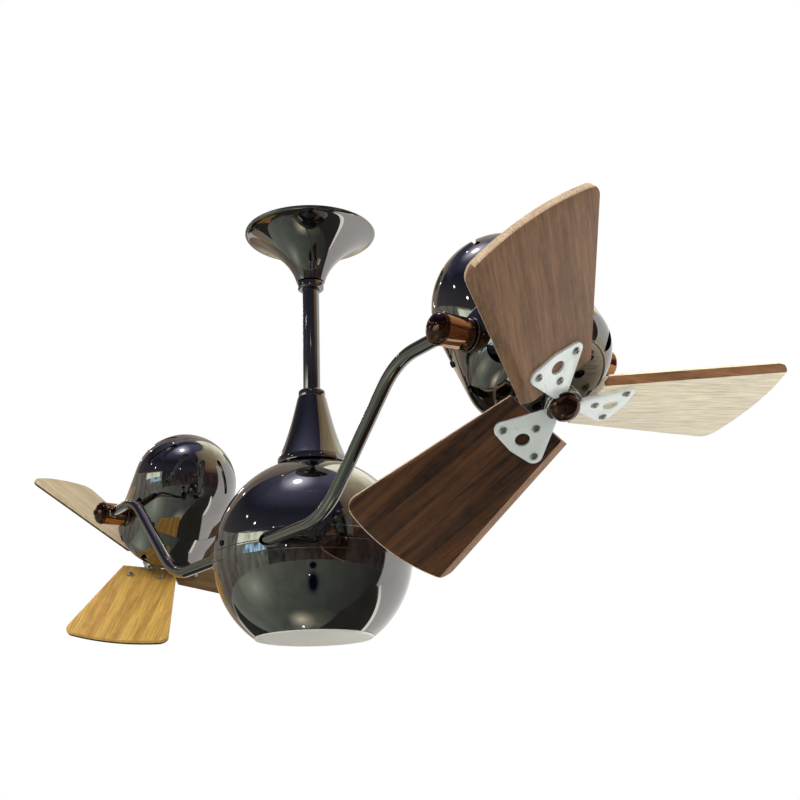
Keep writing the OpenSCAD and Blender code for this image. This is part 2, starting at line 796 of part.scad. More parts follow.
// Wooden blade: straight root, two straight edges, rounded tip corners and an arched tip
module blade_outline() {
    slope = atan((tip_half - root_half) / (blade_shoulder_x - blade_root_x));
    root = [blade_root_x, root_half];
    start = root + blade_corner * [sin(slope), -cos(slope)];
    b = start * [cos(slope), sin(slope)];
    reach = sweep_r - blade_corner;
    corner = start + (sqrt(b * b - start * start + reach * reach) - b) * [cos(slope), sin(slope)];
    tip = atan2(corner[1], corner[0]);
    polygon(concat([[root[0], -root[1]]],
        arc([corner[0], -corner[1]], blade_corner, -90 - slope, -tip, 10),
        arc([0, 0], sweep_r, -tip, tip, 20),
        arc(corner, blade_corner, tip, 90 + slope, 10), [root]));
}

module blade(k) {
    color("saddlebrown") blade_frame(k) translate([0, 0, -plate_t - blade_t]) difference() {
        linear_extrude(blade_t) blade_outline();
        for (s = PLATE_SCREWS) translate([s[0], s[1], -1]) cylinder(r = screw_r + fit, h = blade_t + 2);
    }
}

module blade_screws() {
    nut_r = 4;
    color("silver") for (k = [0:2]) blade_frame(k) for (s = PLATE_SCREWS) translate([s[0], s[1], 0]) {
        translate([0, 0, -plate_t - blade_t - 4]) cylinder(r = screw_r, h = plate_t + blade_t + 4.1);
        cylinder(r1 = screw_head_r, r2 = screw_head_r - 0.8, h = 1.8);
        translate([0, 0, -plate_t - blade_t - 3.2]) cylinder(r = nut_r, h = 3.2, $fn = 6);
        translate([0, 0, -plate_t - blade_t - 3.2]) sphere(3, $fn = 32);
    }
}

module hub_cap() {
    base = hub_s + hub_h;
    color("saddlebrown") intersection() {
        translate([0, 0, base]) sphere(cap_r);
        translate([0, 0, base + seat / 2]) cylinder(r = 20, h = 20);
    }
}

// ---------------------------------------------------------------- heads in place

module right_head() {
    translate([pivot_x, 0, pivot_z]) rotate([0, 90 + right_tilt, 0]) children();
}

module left_head() {
    translate([-pivot_x, 0, pivot_z]) rotate([0, -90 - left_tilt, 0]) children();
}

module right_set() { right_head() rotate([0, 0, right_spin]) children(); }
module left_set() { left_head() rotate([0, 0, left_spin]) children(); }

module right_rear_shell() { right_head() rear_shell(); }
module right_front_shell() { right_head() front_shell(); }
module right_motor_frame() { right_head() motor_frame(); }
module right_stator() { right_head() stator(); }
module right_motor_bearings() { right_head() motor_bearings(); }
module right_pivot_bolt() { right_head() pivot_bolt(); }
module right_clamp_knob() { right_head() clamp_knob(); }
module right_far_knob() { right_head() far_knob(); }
module right_shell_screws() { right_head() shell_screws(); }
module right_shaft() { right_set() motor_shaft(); }
module right_rotor() { right_set() cage_rotor(); }
module right_blade_hub() { right_set() blade_hub(); }
module right_blade_plates() { right_set() blade_plates(); }
module right_blade_1() { right_set() blade(0); }
module right_blade_2() { right_set() blade(1); }
module right_blade_3() { right_set() blade(2); }
module right_blade_screws() { right_set() blade_screws(); }
module right_hub_cap() { right_set() hub_cap(); }

module left_rear_shell() { left_head() rear_shell(); }
module left_front_shell() { left_head() front_shell(); }
module left_motor_frame() { left_head() motor_frame(); }
module left_stator() { left_head() stator(); }
module left_motor_bearings() { left_head() motor_bearings(); }
module left_pivot_bolt() { left_head() pivot_bolt(); }
module left_clamp_knob() { left_head() clamp_knob(); }
module left_far_knob() { left_head() far_knob(); }
module left_shell_screws() { left_head() shell_screws(); }
module left_shaft() { left_set() motor_shaft(); }
module left_rotor() { left_set() cage_rotor(); }
module left_blade_hub() { left_set() blade_hub(); }
module left_blade_plates() { left_set() blade_plates(); }
module left_blade_1() { left_set() blade(0); }
module left_blade_2() { left_set() blade(1); }
module left_blade_3() { left_set() blade(2); }
module left_blade_screws() { left_set() blade_screws(); }
module left_hub_cap() { left_set() hub_cap(); }

// ---------------------------------------------------------------- drawing

ceiling_bracket();
hanger_ball();
rod_pins();
downrod();
canopy();
canopy_collar();
neck_collar();
collar_screws();
neck_cover();
spindle();
slip_ring_drum();
spindle_nut();
turret_hub();
hub_bearings();
brush_block();
upper_dome();
lower_bowl();
lip_screws();
bottom_cover();
right_arm();
left_arm();
friction_washers();
right_rear_shell();
right_front_shell();
right_motor_frame();
right_stator();
right_motor_bearings();
right_pivot_bolt();
right_clamp_knob();
right_far_knob();
right_shell_screws();
right_shaft();
right_rotor();
right_blade_hub();
right_blade_plates();
right_blade_1();
right_blade_2();
right_blade_3();
right_blade_screws();
right_hub_cap();
left_rear_shell();
left_front_shell();
left_motor_frame();
left_stator();
left_motor_bearings();
left_pivot_bolt();
left_clamp_knob();
left_far_knob();
left_shell_screws();
left_shaft();
left_rotor();
left_blade_hub();
left_blade_plates();
left_blade_1();
left_blade_2();
left_blade_3();
left_blade_screws();
left_hub_cap();
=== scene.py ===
"""Twin head ceiling fan, dressed for its portrait.

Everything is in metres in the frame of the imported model: the origin is the centre of the mounting face,
+Z is up, +X points at the right head and both arms lie on the -Y side. Sizes below are in millimetres.
"""

import logging
import math
from collections.abc import Callable, Sequence
from dataclasses import dataclass
from enum import Enum

import bmesh
import bpy
import numpy as np
from mathutils import Matrix, Vector


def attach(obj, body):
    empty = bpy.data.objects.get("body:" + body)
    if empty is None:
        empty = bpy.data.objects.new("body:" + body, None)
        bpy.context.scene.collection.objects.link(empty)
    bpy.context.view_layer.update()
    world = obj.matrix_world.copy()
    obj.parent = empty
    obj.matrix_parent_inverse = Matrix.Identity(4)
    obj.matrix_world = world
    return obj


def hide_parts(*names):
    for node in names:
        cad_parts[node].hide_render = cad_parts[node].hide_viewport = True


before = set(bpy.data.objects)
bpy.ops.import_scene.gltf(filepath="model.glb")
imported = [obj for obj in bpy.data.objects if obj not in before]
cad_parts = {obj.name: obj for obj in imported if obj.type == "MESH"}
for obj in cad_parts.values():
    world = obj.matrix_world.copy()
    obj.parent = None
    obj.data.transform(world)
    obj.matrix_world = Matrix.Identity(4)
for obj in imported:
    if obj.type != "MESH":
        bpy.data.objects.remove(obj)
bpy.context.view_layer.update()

log = logging.getLogger("fan")
MM = 0.001
Point = tuple[float, float]
Colour = tuple[float, float, float]
Tones = tuple[Colour, Colour, Colour]
Work = bmesh.types.BMesh
Faces = list[bmesh.types.BMFace]
Ring = Sequence[bmesh.types.BMVert]
Mesh = bpy.types.Mesh
Socket = bpy.types.NodeSocket
Sockets = dict[str, Socket]
TINY = 1e-6
SHARP = 34.0
# The ball's centre below the ceiling, and the heads' pivots beside and above it.
BALL_Z = -378.0
PIVOT_X = 372.0
PIVOT_RISE = 115.0
BOLT_BORE = 5.1


# ------------------------------------------------------------------ shapes


def turn(axis: str, degrees: float) -> Matrix:
    """Returns a rotation about X, Y or Z by an angle in degrees."""
    return Matrix.Rotation(math.radians(degrees), 4, axis)


def shift(x: float, y: float, z: float) -> Matrix:
    """Returns a move by millimetres."""
    return Matrix.Translation(Vector((x, y, z)) * MM)


def arc(centre: Point, radius: float, start: float, end: float, steps: int) -> list[Point]:
    """Points of a circular arc.

    Args:
        centre: The arc's centre.
        radius: Its radius.
        start: First angle in degrees.
        end: Last angle in degrees.
        steps: Number of chords.

    Returns:
        The points, both ends included.
    """
    angles = (math.radians(start + (end - start) * i / steps) for i in range(steps + 1))
    return [(centre[0] + radius * math.cos(a), centre[1] + radius * math.sin(a)) for a in angles]


def bezier(points: Sequence[Point], steps: int) -> list[Point]:
    """Points of a cubic curve.

    Args:
        points: Its four control points.
        steps: Number of chords.

    Returns:
        The points, both ends included.
    """
    found = []
    for i in range(steps + 1):
        t = i / steps
        w = ((1 - t) ** 3, 3 * t * (1 - t) ** 2, 3 * t * t * (1 - t), t**3)
        found.append(tuple(sum(k * p[n] for k, p in zip(w, points)) for n in (0, 1)))
    return found


def eased(points: Sequence[Point], size: float, steps: int = 3) -> list[Point]:
    """Rounds the corners of a closed outline, except those on its axis.

    Args:
        points: The outline.
        size: How far from a corner the rounding starts.
        steps: Chords per corner.

    Returns:
        The rounded outline.
    """
    found: list[Point] = []
    count = len(points)
    for i, p in enumerate(points):
        a, b = points[i - 1], points[(i + 1) % count]
        da, db = math.dist(a, p), math.dist(b, p)
        bend = 0.0
        if da > TINY and db > TINY:
            ua = ((p[0] - a[0]) / da, (p[1] - a[1]) / da)
            ub = ((b[0] - p[0]) / db, (b[1] - p[1]) / db)
            bend = math.degrees(math.acos(max(-1.0, min(1.0, ua[0] * ub[0] + ua[1] * ub[1]))))
        if p[0] < TINY or bend < 25:
            found.append(p)
            continue
        cut = min(size, 0.45 * da, 0.45 * db)
        start = (p[0] - ua[0] * cut, p[1] - ua[1] * cut)
        end = (p[0] + ub[0] * cut, p[1] + ub[1] * cut)
        for k in range(steps + 1):
            t = k / steps
            w = ((1 - t) ** 2, 2 * t * (1 - t), t * t)
            found.append(tuple(w[0] * start[n] + w[1] * p[n] + w[2] * end[n] for n in (0, 1)))
    return found


def rounded(corners: Sequence[Point], radius: float, steps: int = 8) -> list[Point]:
    """Convex anticlockwise outline that runs at a distance around its corners.

    Args:
        corners: Centres of the corner arcs.
        radius: Distance of the outline from them.
        steps: Chords per corner.

    Returns:
        The outline.
    """
    found: list[Point] = []
    count = len(corners)
    for i, c in enumerate(corners):
        a, b = corners[i - 1], corners[(i + 1) % count]
        first = math.degrees(math.atan2(a[0] - c[0], c[1] - a[1]))
        last = math.degrees(math.atan2(c[0] - b[0], b[1] - c[1]))
        found += arc(c, radius, first, first + (last - first) % 360, steps)
    return found


def skin(work: Work, rings: Sequence[Ring], closed: bool = False) -> Faces:
    """Joins rings of vertices with faces.

    Args:
        work: Mesh in the making.
        rings: Rings of equal length, or single vertices at a pole.
        closed: True if the last ring joins the first.

    Returns:
        The new faces.
    """
    made = []
    steps = max(len(r) for r in rings)
    for a, b in zip(rings, list(rings[1:]) + (list(rings[:1]) if closed else [])):
        for i in range(steps):
            j = (i + 1) % steps
            corners = list(dict.fromkeys([a[i % len(a)], a[j % len(a)], b[j % len(b)], b[i % len(b)]]))
            if len(corners) > 2:
                made.append(work.faces.new(corners))
    return made


def revolve(work: Work, profile: Sequence[Point], steps: int, place: Matrix = Matrix(), sides: int = 0) -> None:
    """Adds a closed profile turned about the Z axis.

    Args:
        work: Mesh in the making.
        profile: Points (radius, height) of the closed outline.
        steps: Number of steps around.
        place: Where it goes.
        sides: With 6, a negative radius in the profile is the flat-to-centre size of a hexagon.
    """
    rings = []
    for r, z in profile:
        ring = []
        for i in range(steps if abs(r) > TINY else 1):
            a = 2 * math.pi * i / steps
            size = r
            if sides and r < 0:
                part = math.pi / sides
                size = -r / math.cos((a + part) % (2 * part) - part)
            ring.append(work.verts.new(place @ (Vector((size * math.cos(a), size * math.sin(a), z)) * MM)))
        rings.append(ring)
    skin(work, rings, closed=True)


def sweep(work: Work, path: Sequence[Vector], radius: float, side: Vector, steps: int) -> None:
    """Adds a round bar along a path that lies in one plane.

    Args:
        work: Mesh in the making.
        path: Points in millimetres.
        radius: Radius of the bar.
        side: Unit normal of the path's plane.
        steps: Number of steps around.
    """
    rings = []
    for i, p in enumerate(path):
        along = (path[min(i + 1, len(path) - 1)] - path[max(i - 1, 0)]).normalized()
        up = along.cross(side)
        ring = []
        for k in range(steps):
            a = 2 * math.pi * k / steps
            ring.append(work.verts.new((p + radius * (math.cos(a) * side + math.sin(a) * up)) * MM))
        rings.append(ring)
    skin(work, rings)
    for ring in (rings[0], rings[-1]):
        work.faces.new(ring)


def slab(work: Work, outline: Sequence[Point], low: float, high: float, edge_r: float,
         hole: Sequence[Point] = (), place: Matrix = Matrix()) -> Faces:
    """Adds a flat board with rounded edges.

    Args:
        work: Mesh in the making.
        outline: Anticlockwise outline.
        low: Height of its back.
        high: Height of its front.
        edge_r: Radius of its edges.
        hole: Outline of a hole, anticlockwise.
        place: Where it goes.

    Returns:
        The faces of its rim.
    """
    turns = (math.radians(a) for a in (0, 30, 60, 90))
    levels = [(edge_r * (1 - math.sin(t)), edge_r * (1 - math.cos(t))) for t in turns]
    steps = [(inset, low + rise) for inset, rise in levels] + [(0.0, low + 2 * edge_r)]
    steps += [(0.0, high - 2 * edge_r)] + [(inset, high - rise) for inset, rise in reversed(levels)]

    def loops(points: Sequence[Point], inwards: float) -> list[Ring]:
        """Returns the rings of one edge, from the back to the front."""
        rings = []
        for inset, z in steps:
            ring = []
            for i, p in enumerate(points):
                a, b = points[i - 1], points[(i + 1) % len(points)]
                d = (math.dist(a, b) or 1.0) / (inwards * inset) if inset else math.inf
                spot = Vector((p[0] - (b[1] - a[1]) / d, p[1] + (b[0] - a[0]) / d, z))
                ring.append(work.verts.new(place @ (spot * MM)))
            rings.append(ring)
        return rings

    outer = loops(outline, 1)
    rim = skin(work, outer)
    if not hole:
        for ring in (outer[0], outer[-1]):
            work.faces.new(ring)
        return rim
    inner = loops(hole, -1)
    rim += skin(work, inner)
    for k in (0, -1):
        pairs = [(v, ring[(i + 1) % len(ring)]) for ring in (outer[k], inner[k]) for i, v in enumerate(ring)]
        bmesh.ops.triangle_fill(work, use_beauty=True, edges=[work.edges.get(pair) for pair in pairs])
    return rim


def smoothed(mesh: Mesh, sharp: float = SHARP) -> Mesh:
    """Returns a mesh made smooth, with the edges above an angle in degrees left crisp."""
    mesh.polygons.foreach_set("use_smooth", [True] * len(mesh.polygons))
    mesh.set_sharp_from_angle(angle=math.radians(sharp))
    return mesh


def finished(work: Work, sharp: float = SHARP) -> Mesh:
    """Turns a mesh in the making into one that is smooth with crisp corners.

    Args:
        work: Mesh in the making, which is used up.
        sharp: Angle in degrees above which an edge is crisp.

    Returns:
        The mesh.
    """
    bmesh.ops.recalc_face_normals(work, faces=work.faces)
    mesh = bpy.data.meshes.new("piece")
    work.to_mesh(mesh)
    work.free()
    return smoothed(mesh, sharp)


def carve(mesh: Mesh, cutter: Mesh) -> Mesh:
    """Cuts one mesh out of another.

    Args:
        mesh: The mesh to cut.
        cutter: What is taken away.

    Returns:
        The mesh that is left.
    """
    body, tool = (bpy.data.objects.new("carved", m) for m in (mesh, cutter))
    for obj in (body, tool):
        bpy.context.scene.collection.objects.link(obj)
    cut = body.modifiers.new("cut", "BOOLEAN")
    cut.operation, cut.solver, cut.object = "DIFFERENCE", "EXACT", tool
    left = bpy.data.meshes.new_from_object(body.evaluated_get(bpy.context.evaluated_depsgraph_get()))
    for obj in (body, tool):
        bpy.data.objects.remove(obj)
    return smoothed(left)


def true_normals(mesh: Mesh, profile: Sequence[Point], near: float = 0.09, crease: float = 30.0) -> None:
    """Gives the turned faces of a mesh the normals of the curve they were turned from.

    Holes cut in a mirror finish would otherwise bend its reflections.

    Args:
        mesh: A mesh turned about Z, with or without holes.
        profile: The closed outline it was turned from.
        near: How far in millimetres a face may be from the outline.
        crease: Angle in degrees above which a corner of the outline stays crisp.
    """
    pts = np.array(profile, float)
    step = np.roll(pts, -1, axis=0) - pts
    pts = pts[np.hypot(*step.T) > TINY]
    step = np.roll(pts, -1, axis=0) - pts
    size = np.hypot(*step.T)
    flat = np.stack([step[:, 1], -step[:, 0]], 1) / size[:, None]
    ends = pts + step
    if float((pts[:, 0] * ends[:, 1] - ends[:, 0] * pts[:, 1]).sum()) < 0:
        flat = -flat
    smooth = (np.roll(flat, 1, axis=0) * flat).sum(1) > math.cos(math.radians(crease))
    ends_smooth = ((smooth, 1), (np.roll(smooth, -1), -1))
    at_start, at_end = (np.where(s[:, None], np.roll(flat, k, axis=0) + flat, flat) for s, k in ends_smooth)
    at_start /= np.linalg.norm(at_start, axis=1)[:, None]
    at_end /= np.linalg.norm(at_end, axis=1)[:, None]

    def fetch(source: Sequence[object], key: str, width: int, kind: type = np.float32) -> np.ndarray:
        """Returns one property of a whole collection as an array."""
        found = np.zeros(len(source) * width, kind)
        source.foreach_get(key, found)
        return found.reshape(-1, width) if width > 1 else found

    normals = fetch(mesh.corner_normals, "vector", 3).astype(float)
    corner = (fetch(mesh.vertices, "co", 3) / MM)[fetch(mesh.loops, "vertex_index", 1, np.int32)]
    face_normal = fetch(mesh.polygons, "normal", 3)
    totals = fetch(mesh.polygons, "loop_total", 1, np.int32)
    owner = np.repeat(np.arange(len(totals)), totals)
    radii = np.hypot(corner[:, 0], corner[:, 1])
    mean = [np.bincount(owner, v) / totals for v in (radii, corner[:, 2], corner[:, 0], corner[:, 1])]
    middle = np.stack(mean[:2], 1)
    away = np.full(len(totals), 1e9)
    owning = np.zeros(len(totals), int)
    for k in range(len(pts)):
        t = np.clip(((middle - pts[k]) @ step[k]) / size[k] ** 2, 0, 1)
        d = np.linalg.norm(pts[k] + t[:, None] * step[k] - middle, axis=1)
        closer = d < away
        away[closer], owning[closer] = d[closer], k
    out = np.stack(mean[2:], 1) / np.maximum(np.hypot(mean[2], mean[3]), TINY)[:, None]
    want = np.concatenate([out * flat[owning][:, :1], flat[owning][:, 1:]], 1)
    match = (want * face_normal).sum(1)
    use = ((away < near) & (np.abs(match) > 0.93))[owner]
    k = owning[owner]
    t = np.clip(((np.stack([radii, corner[:, 2]], 1) - pts[k]) * step[k]).sum(1) / size[k] ** 2, 0, 1)[:, None]
    n = at_start[k] * (1 - t) + at_end[k] * t
    full = np.concatenate([corner[:, :2] / np.maximum(radii, 1e-4)[:, None] * n[:, :1], n[:, 1:]], 1)
    full *= np.sign(match)[owner][:, None] / np.maximum(np.linalg.norm(full, axis=1), 1e-9)[:, None]
    normals[use] = full[use]
    mesh.normals_split_custom_set(normals.tolist())


# ------------------------------------------------------------------ shader effects


class Net:
    """Adds and joins the nodes of one material or node group."""

    def __init__(self, tree: bpy.types.NodeTree) -> None:
        """Keeps the tree that is filled."""
        self.tree = tree

    def plug(self, slot: Socket, value: object) -> None:
        """Links an input to a socket, or gives it a plain value."""
        if isinstance(value, Socket):
            self.tree.links.new(value, slot)
        else:
            slot.default_value = value

    def add(self, kind: str, **values: object) -> bpy.types.Node:
        """Adds a node.

        Args:
            kind: Its type name, without its first words ShaderNode.
            values: Attributes, or inputs when the name is that of an input socket in lower case.

        Returns:
            The node.
        """
        node = self.tree.nodes.new("ShaderNode" + kind)
        slots = {s.name.lower().replace(" ", "_"): s for s in reversed(node.inputs)}
        for key, value in values.items():
            if key in slots:
                self.plug(slots[key], value)
            else:
                setattr(node, key, value)
        return node

    def shade(self, values: dict[str, object], shader: str = "Principled BSDF") -> None:
        """Sets inputs of the shader, by their names."""
        for name, value in values.items():
            self.plug(self.tree.nodes[shader].inputs[name], value)

    def math(self, operation: str, *values: object) -> Socket:
        """Adds a Math node.

        Args:
            operation: What it does.
            values: Numbers or sockets, in order.

        Returns:
            Its result.
        """
        node = self.add("Math", operation=operation)
        for slot, value in zip(node.inputs, values):
            self.plug(slot, value)
        return node.outputs[0]

    def fit(self, value: Socket, low: object, high: object, start: float = 0.0, end: float = 1.0) -> Socket:
        """Maps a value from start..end to low..high.

        Args:
            value: What is mapped.
            low: Result at start, a number or a socket.
            high: Result at end, a number or a socket.
            start: Lowest value.
            end: Highest value.

        Returns:
            The result, kept between low and high.
        """
        return self.add("MapRange", value=value, from_min=start, from_max=end, to_min=low, to_max=high).outputs[0]

    def blend(self, factor: object, a: object, b: object, mode: str = "MIX") -> Socket:
        """Mixes two colours.

        Args:
            factor: Share of the second.
            a: First colour, four numbers or a socket.
            b: Second colour.
            mode: Blend mode.

        Returns:
            The mixed colour.
        """
        node = self.add("Mix", data_type="RGBA", blend_type=mode)
        for slot, value in zip((0, 6, 7), (factor, a, b)):
            self.plug(node.inputs[slot], value)
        return node.outputs[2]

    def place(self, kind: str = "Object") -> Socket:
        """Returns the coordinates of one kind."""
        return self.add("TexCoord").outputs[kind]

    def stretched(self, along: float = 1.0, across: float = 1.0, moved: Socket | None = None) -> Socket:
        """Returns coordinates scaled along local X and across it.

        Args:
            along: Scale of X.
            across: Scale of Y and Z.
            moved: Coordinates, the piece's own when left out.

        Returns:
            The scaled coordinates.
        """
        return self.add("Mapping", vector=moved or self.place(), scale=(along, across, across)).outputs[0]

    def noise(self, vector: Socket, scale: object, detail: float, rough: float, warp: float = 0.0) -> Socket:
        """Adds a noise.

        Args:
            vector: Coordinates.
            scale: Its scale, a number or a socket.
            detail: Octaves.
            rough: Roughness of the octaves.
            warp: Distortion.

        Returns:
            Its value.
        """
        values = {"detail": detail, "roughness": rough, "distortion": warp}
        return self.add("TexNoise", vector=vector, scale=scale, **values).outputs[0]

    def sum(self, a: Socket, b: Socket, share: float) -> Socket:
        """Returns the weighted sum of two values, of which the first has the share."""
        return self.math("ADD", self.math("MULTIPLY", a, share), self.math("MULTIPLY", b, 1.0 - share))


def blank(name: str) -> tuple[bpy.types.Material, Net]:
    """Returns a new material and the net of its nodes."""
    made = bpy.data.materials.new(name)
    made.use_nodes = True
    return made, Net(made.node_tree)


@dataclass(frozen=True)
class Effect:
    """A node group with named inputs and outputs, built once and used in many materials.

    A colour input has None for its value, and starts grey.
    """

    name: str
    inputs: dict[str, float | None]
    outputs: tuple[str, ...]
    build: Callable[[Net, Sockets], Sockets]

    def group(self) -> bpy.types.NodeTree:
        """Returns the group, which is built the first time."""
        found = bpy.data.node_groups.get(self.name)
        if found:
            return found
        tree = bpy.data.node_groups.new(self.name, "ShaderNodeTree")
        for name, value in self.inputs.items():
            kind = "NodeSocketColor" if value is None else "NodeSocketFloat"
            made = tree.interface.new_socket(name=name, in_out="INPUT", socket_type=kind)
            made.default_value = GREY if value is None else value
        for name in self.outputs:
            kind = "NodeSocketColor" if name == "Colour" else "NodeSocketFloat"
            tree.interface.new_socket(name=name, in_out="OUTPUT", socket_type=kind)
        entry, leave = tree.nodes.new("NodeGroupInput"), tree.nodes.new("NodeGroupOutput")
        results = self.build(Net(tree), {s.name: s for s in entry.outputs if s.name})
        for name, socket in results.items():
            tree.links.new(socket, leave.inputs[name])
        return tree

    def use(self, net: Net, values: dict[str, object]) -> Sockets:
        """Puts the group into a material.

        Args:
            net: The material's nodes.
            values: Its inputs.

        Returns:
            Its outputs by name.
        """
        node = net.add("Group", node_tree=self.group())
        for key, value in values.items():
            node.inputs[key].default_value = (*value, 1.0) if isinstance(value, tuple) else value
        return {s.name: s for s in node.outputs}


def _surface(net: Net, given: Sockets, colour: Socket, by: Socket, height: Socket) -> Sockets:
    """Returns the outputs of a surface whose roughness follows a value between Smooth and Rough."""
    rough = net.fit(by, given["Smooth"], given["Rough"], 0.3, 0.7)
    return {"Colour": colour, "Roughness": rough, "Height": height}


def _polish(net: Net, given: Sockets) -> Sockets:
    """Smears, fine haze and a slow waviness of a plated mirror finish."""
    plain = net.stretched()
    smear = net.noise(plain, given["Smear scale"], 4.0, 0.6, 0.6)
    specks = net.noise(plain, 900.0, 2.0, 0.7)
    haze = net.math("ADD", net.fit(smear, 0.0, 1.0, 0.42, 0.72), net.fit(specks, 0.0, 0.35, 0.55, 0.8))
    rough = net.fit(haze, given["Clean roughness"], given["Smeared roughness"], 0.0, 1.35)
    colour = net.blend(haze, given["Colour"], given["Smear colour"])
    return {"Colour": colour, "Roughness": rough, "Height": net.noise(plain, 26.0, 1.0, 0.4)}


def _timber(net: Net, given: Sockets) -> Sockets:
    """Long figure, fibres, mottle and pores of sawn wood whose grain runs along local X."""
    moved = net.add("VectorMath", operation="ADD")
    for slot, value in zip(moved.inputs, (net.place(), net.math("MULTIPLY", given["Board"], 3.7))):
        net.plug(slot, value)

    def grain(along: float, across: float, *noise: float) -> Socket:
        """Returns a noise stretched along the grain, by its detail, roughness and distortion."""
        return net.noise(net.stretched(along, across, moved.outputs[0]), 1.0, *noise)

    bands = net.sum(grain(2.2, 34.0, 3.0, 0.55, 1.4), grain(4.0, 95.0, 4.0, 0.55, 0.5), 0.5)
    fibre = grain(24.0, 620.0, 4.0, 0.7, 0.2)
    mottle = net.fit(grain(60.0, 90.0, 5.0, 0.65, 0.9), 0.0, 1.0, 0.35, 0.75)
    pores = net.fit(grain(32.0, 2600.0, 2.0, 0.6), 1.0, 0.0, 0.30, 0.38)
    share = net.math("MULTIPLY", net.fit(bands, 0.0, 1.0, 0.42, 0.60), given["Figure"])
    colour = net.blend(share, given["Light"], given["Dark"])
    colour = net.blend(net.math("MULTIPLY", mottle, given["Mottle"]), colour, given["Fleck"])
    tone = net.fit(fibre, 0.62, 1.24, 0.3, 0.7)
    grey = net.add("CombineColor", red=tone, green=tone, blue=tone).outputs[0]
    colour = net.blend(1.0, colour, grey, "MULTIPLY")
    colour = net.blend(net.math("MULTIPLY", pores, 0.55), colour, given["Pore"])
    rough = net.fit(net.math("ADD", fibre, pores), given["Clean roughness"], given["Open roughness"], 0.3, 1.4)
    return {"Colour": colour, "Roughness": rough,
            "Height": net.math("SUBTRACT", net.math("MULTIPLY", fibre, 0.5), pores)}


def _brushed(net: Net, given: Sockets) -> Sockets:
    """Fine straight scratches along local X with a slow stain."""
    lines = net.noise(net.stretched(40.0, 2600.0), 1.0, 4.0, 0.65)
    stain = net.noise(net.stretched(), 55.0, 4.0, 0.6, 0.4)
    colour = net.blend(net.fit(stain, 0.0, 1.0, 0.4, 0.75), given["Colour"], given["Stain"])
    colour = net.blend(net.fit(lines, 0.35, 0.0, 0.3, 0.7), colour, given["Stain"])
    return _surface(net, given, colour, net.sum(lines, stain, 0.7), lines)


def _cast(net: Net, given: Sockets) -> Sockets:
    """Pebbled skin of a casting, a moulding or pressed board, with blotches of dirt."""
    grains = net.noise(net.stretched(), given["Grain"], 5.0, 0.65)
    cells = net.add("TexVoronoi", vector=net.stretched(), scale=given["Grain"]).outputs[0]
    dirt = net.noise(net.stretched(), 38.0, 4.0, 0.6, 0.8)
    colour = net.blend(net.fit(dirt, 0.0, 1.0, 0.42, 0.74), given["Colour"], given["Dirt"])
    return _surface(net, given, colour, grains, net.sum(cells, grains, 0.6))


def _stack(net: Net, given: Sockets) -> Sockets:
    """Thin lines between sheets or turns that are stacked along local Z."""
    wave = net.add("TexWave", vector=net.stretched(), bands_direction="Z", scale=given["Layers"],
                   distortion=0.6, detail=1.0).outputs[0]
    blot = net.noise(net.stretched(), 70.0, 4.0, 0.6)
    colour = net.blend(net.fit(wave, 0.0, 1.0, 0.2, 0.9), given["Gap"], given["Colour"])
    return _surface(net, given, net.blend(net.fit(blot, 0.0, 0.4, 0.4, 0.8), colour, given["Gap"]), blot, wave)


def _tone(net: Net, given: Sockets) -> Sockets:
    """Tones of a dim room that change from left to right and from low to high, with soft upright shapes."""
    x, y = net.add("SeparateXYZ", vector=net.place("UV")).outputs[:2]

    def across(row: str) -> Socket:
        """Returns the tones of the low or the high row."""
        first = net.blend(net.fit(x, 0.0, 1.0, 0.0, 0.5), given[row + " left"], given[row + " middle"])
        return net.blend(net.fit(x, 0.0, 1.0, 0.5, 1.0), first, given[row + " right"])

    mixed = net.blend(y, across("Low"), across("High"))
    upright = net.add("Mapping", vector=net.place(), scale=(1.1, 1.1, 0.35)).outputs[0]
    shapes = net.noise(upright, given["Scale"], 2.5, 0.55, 0.5)
    share = net.math("MULTIPLY", net.fit(shapes, 0.0, 1.0, 0.38, 0.68), given["Depth"])
    return {"Colour": net.blend(share, mixed, given["Shade"])}


def _glow(net: Net, given: Sockets) -> Sockets:
    """Soft round glow that is brightest at the piece's own origin."""
    away = net.add("VectorMath", operation="LENGTH", vector=net.place()).outputs["Value"]
    near = net.math("SUBTRACT", 1.0, net.math("DIVIDE", away, given["Size"]))
    share = net.math("DIVIDE", near, net.math("SUBTRACT", 1.0, given["Core"]))
    return {"Mask": net.math("POWER", net.math("MINIMUM", net.math("MAXIMUM", share, 0.0), 1.0), 2.2)}


SURFACE = ("Colour", "Roughness", "Height")
GREY = (0.5, 0.5, 0.5, 1.0)
SMEAR_TONE, PORE_TONE = 0.86, 0.35
POLISH = Effect("Polish haze", {"Colour": None, "Smear colour": None, "Smear scale": 14.0,
                                "Clean roughness": 0.03, "Smeared roughness": 0.12}, SURFACE, _polish)
TIMBER = Effect("Timber grain", {"Light": None, "Dark": None, "Fleck": None, "Pore": None,
                                 "Figure": 1.0, "Mottle": 0.3, "Board": 0.0,
                                 "Clean roughness": 0.3, "Open roughness": 0.55}, SURFACE, _timber)
BRUSHED = Effect("Brushed lines", {"Colour": None, "Stain": None, "Smooth": 0.2, "Rough": 0.4}, SURFACE, _brushed)
CAST = Effect("Cast skin", {"Colour": None, "Dirt": None, "Grain": 900.0, "Smooth": 0.4, "Rough": 0.6},
              SURFACE, _cast)
STACK = Effect("Stacked layers", {"Colour": None, "Gap": None, "Layers": 300.0, "Smooth": 0.3, "Rough": 0.5},
               SURFACE, _stack)
CORNERS = tuple(f"{row} {part}" for row in ("Low", "High") for part in ("left", "middle", "right"))
TONE = Effect("Room tone", {**dict.fromkeys(CORNERS), "Shade": None, "Depth": 0.5, "Scale": 0.8}, ("Colour",), _tone)
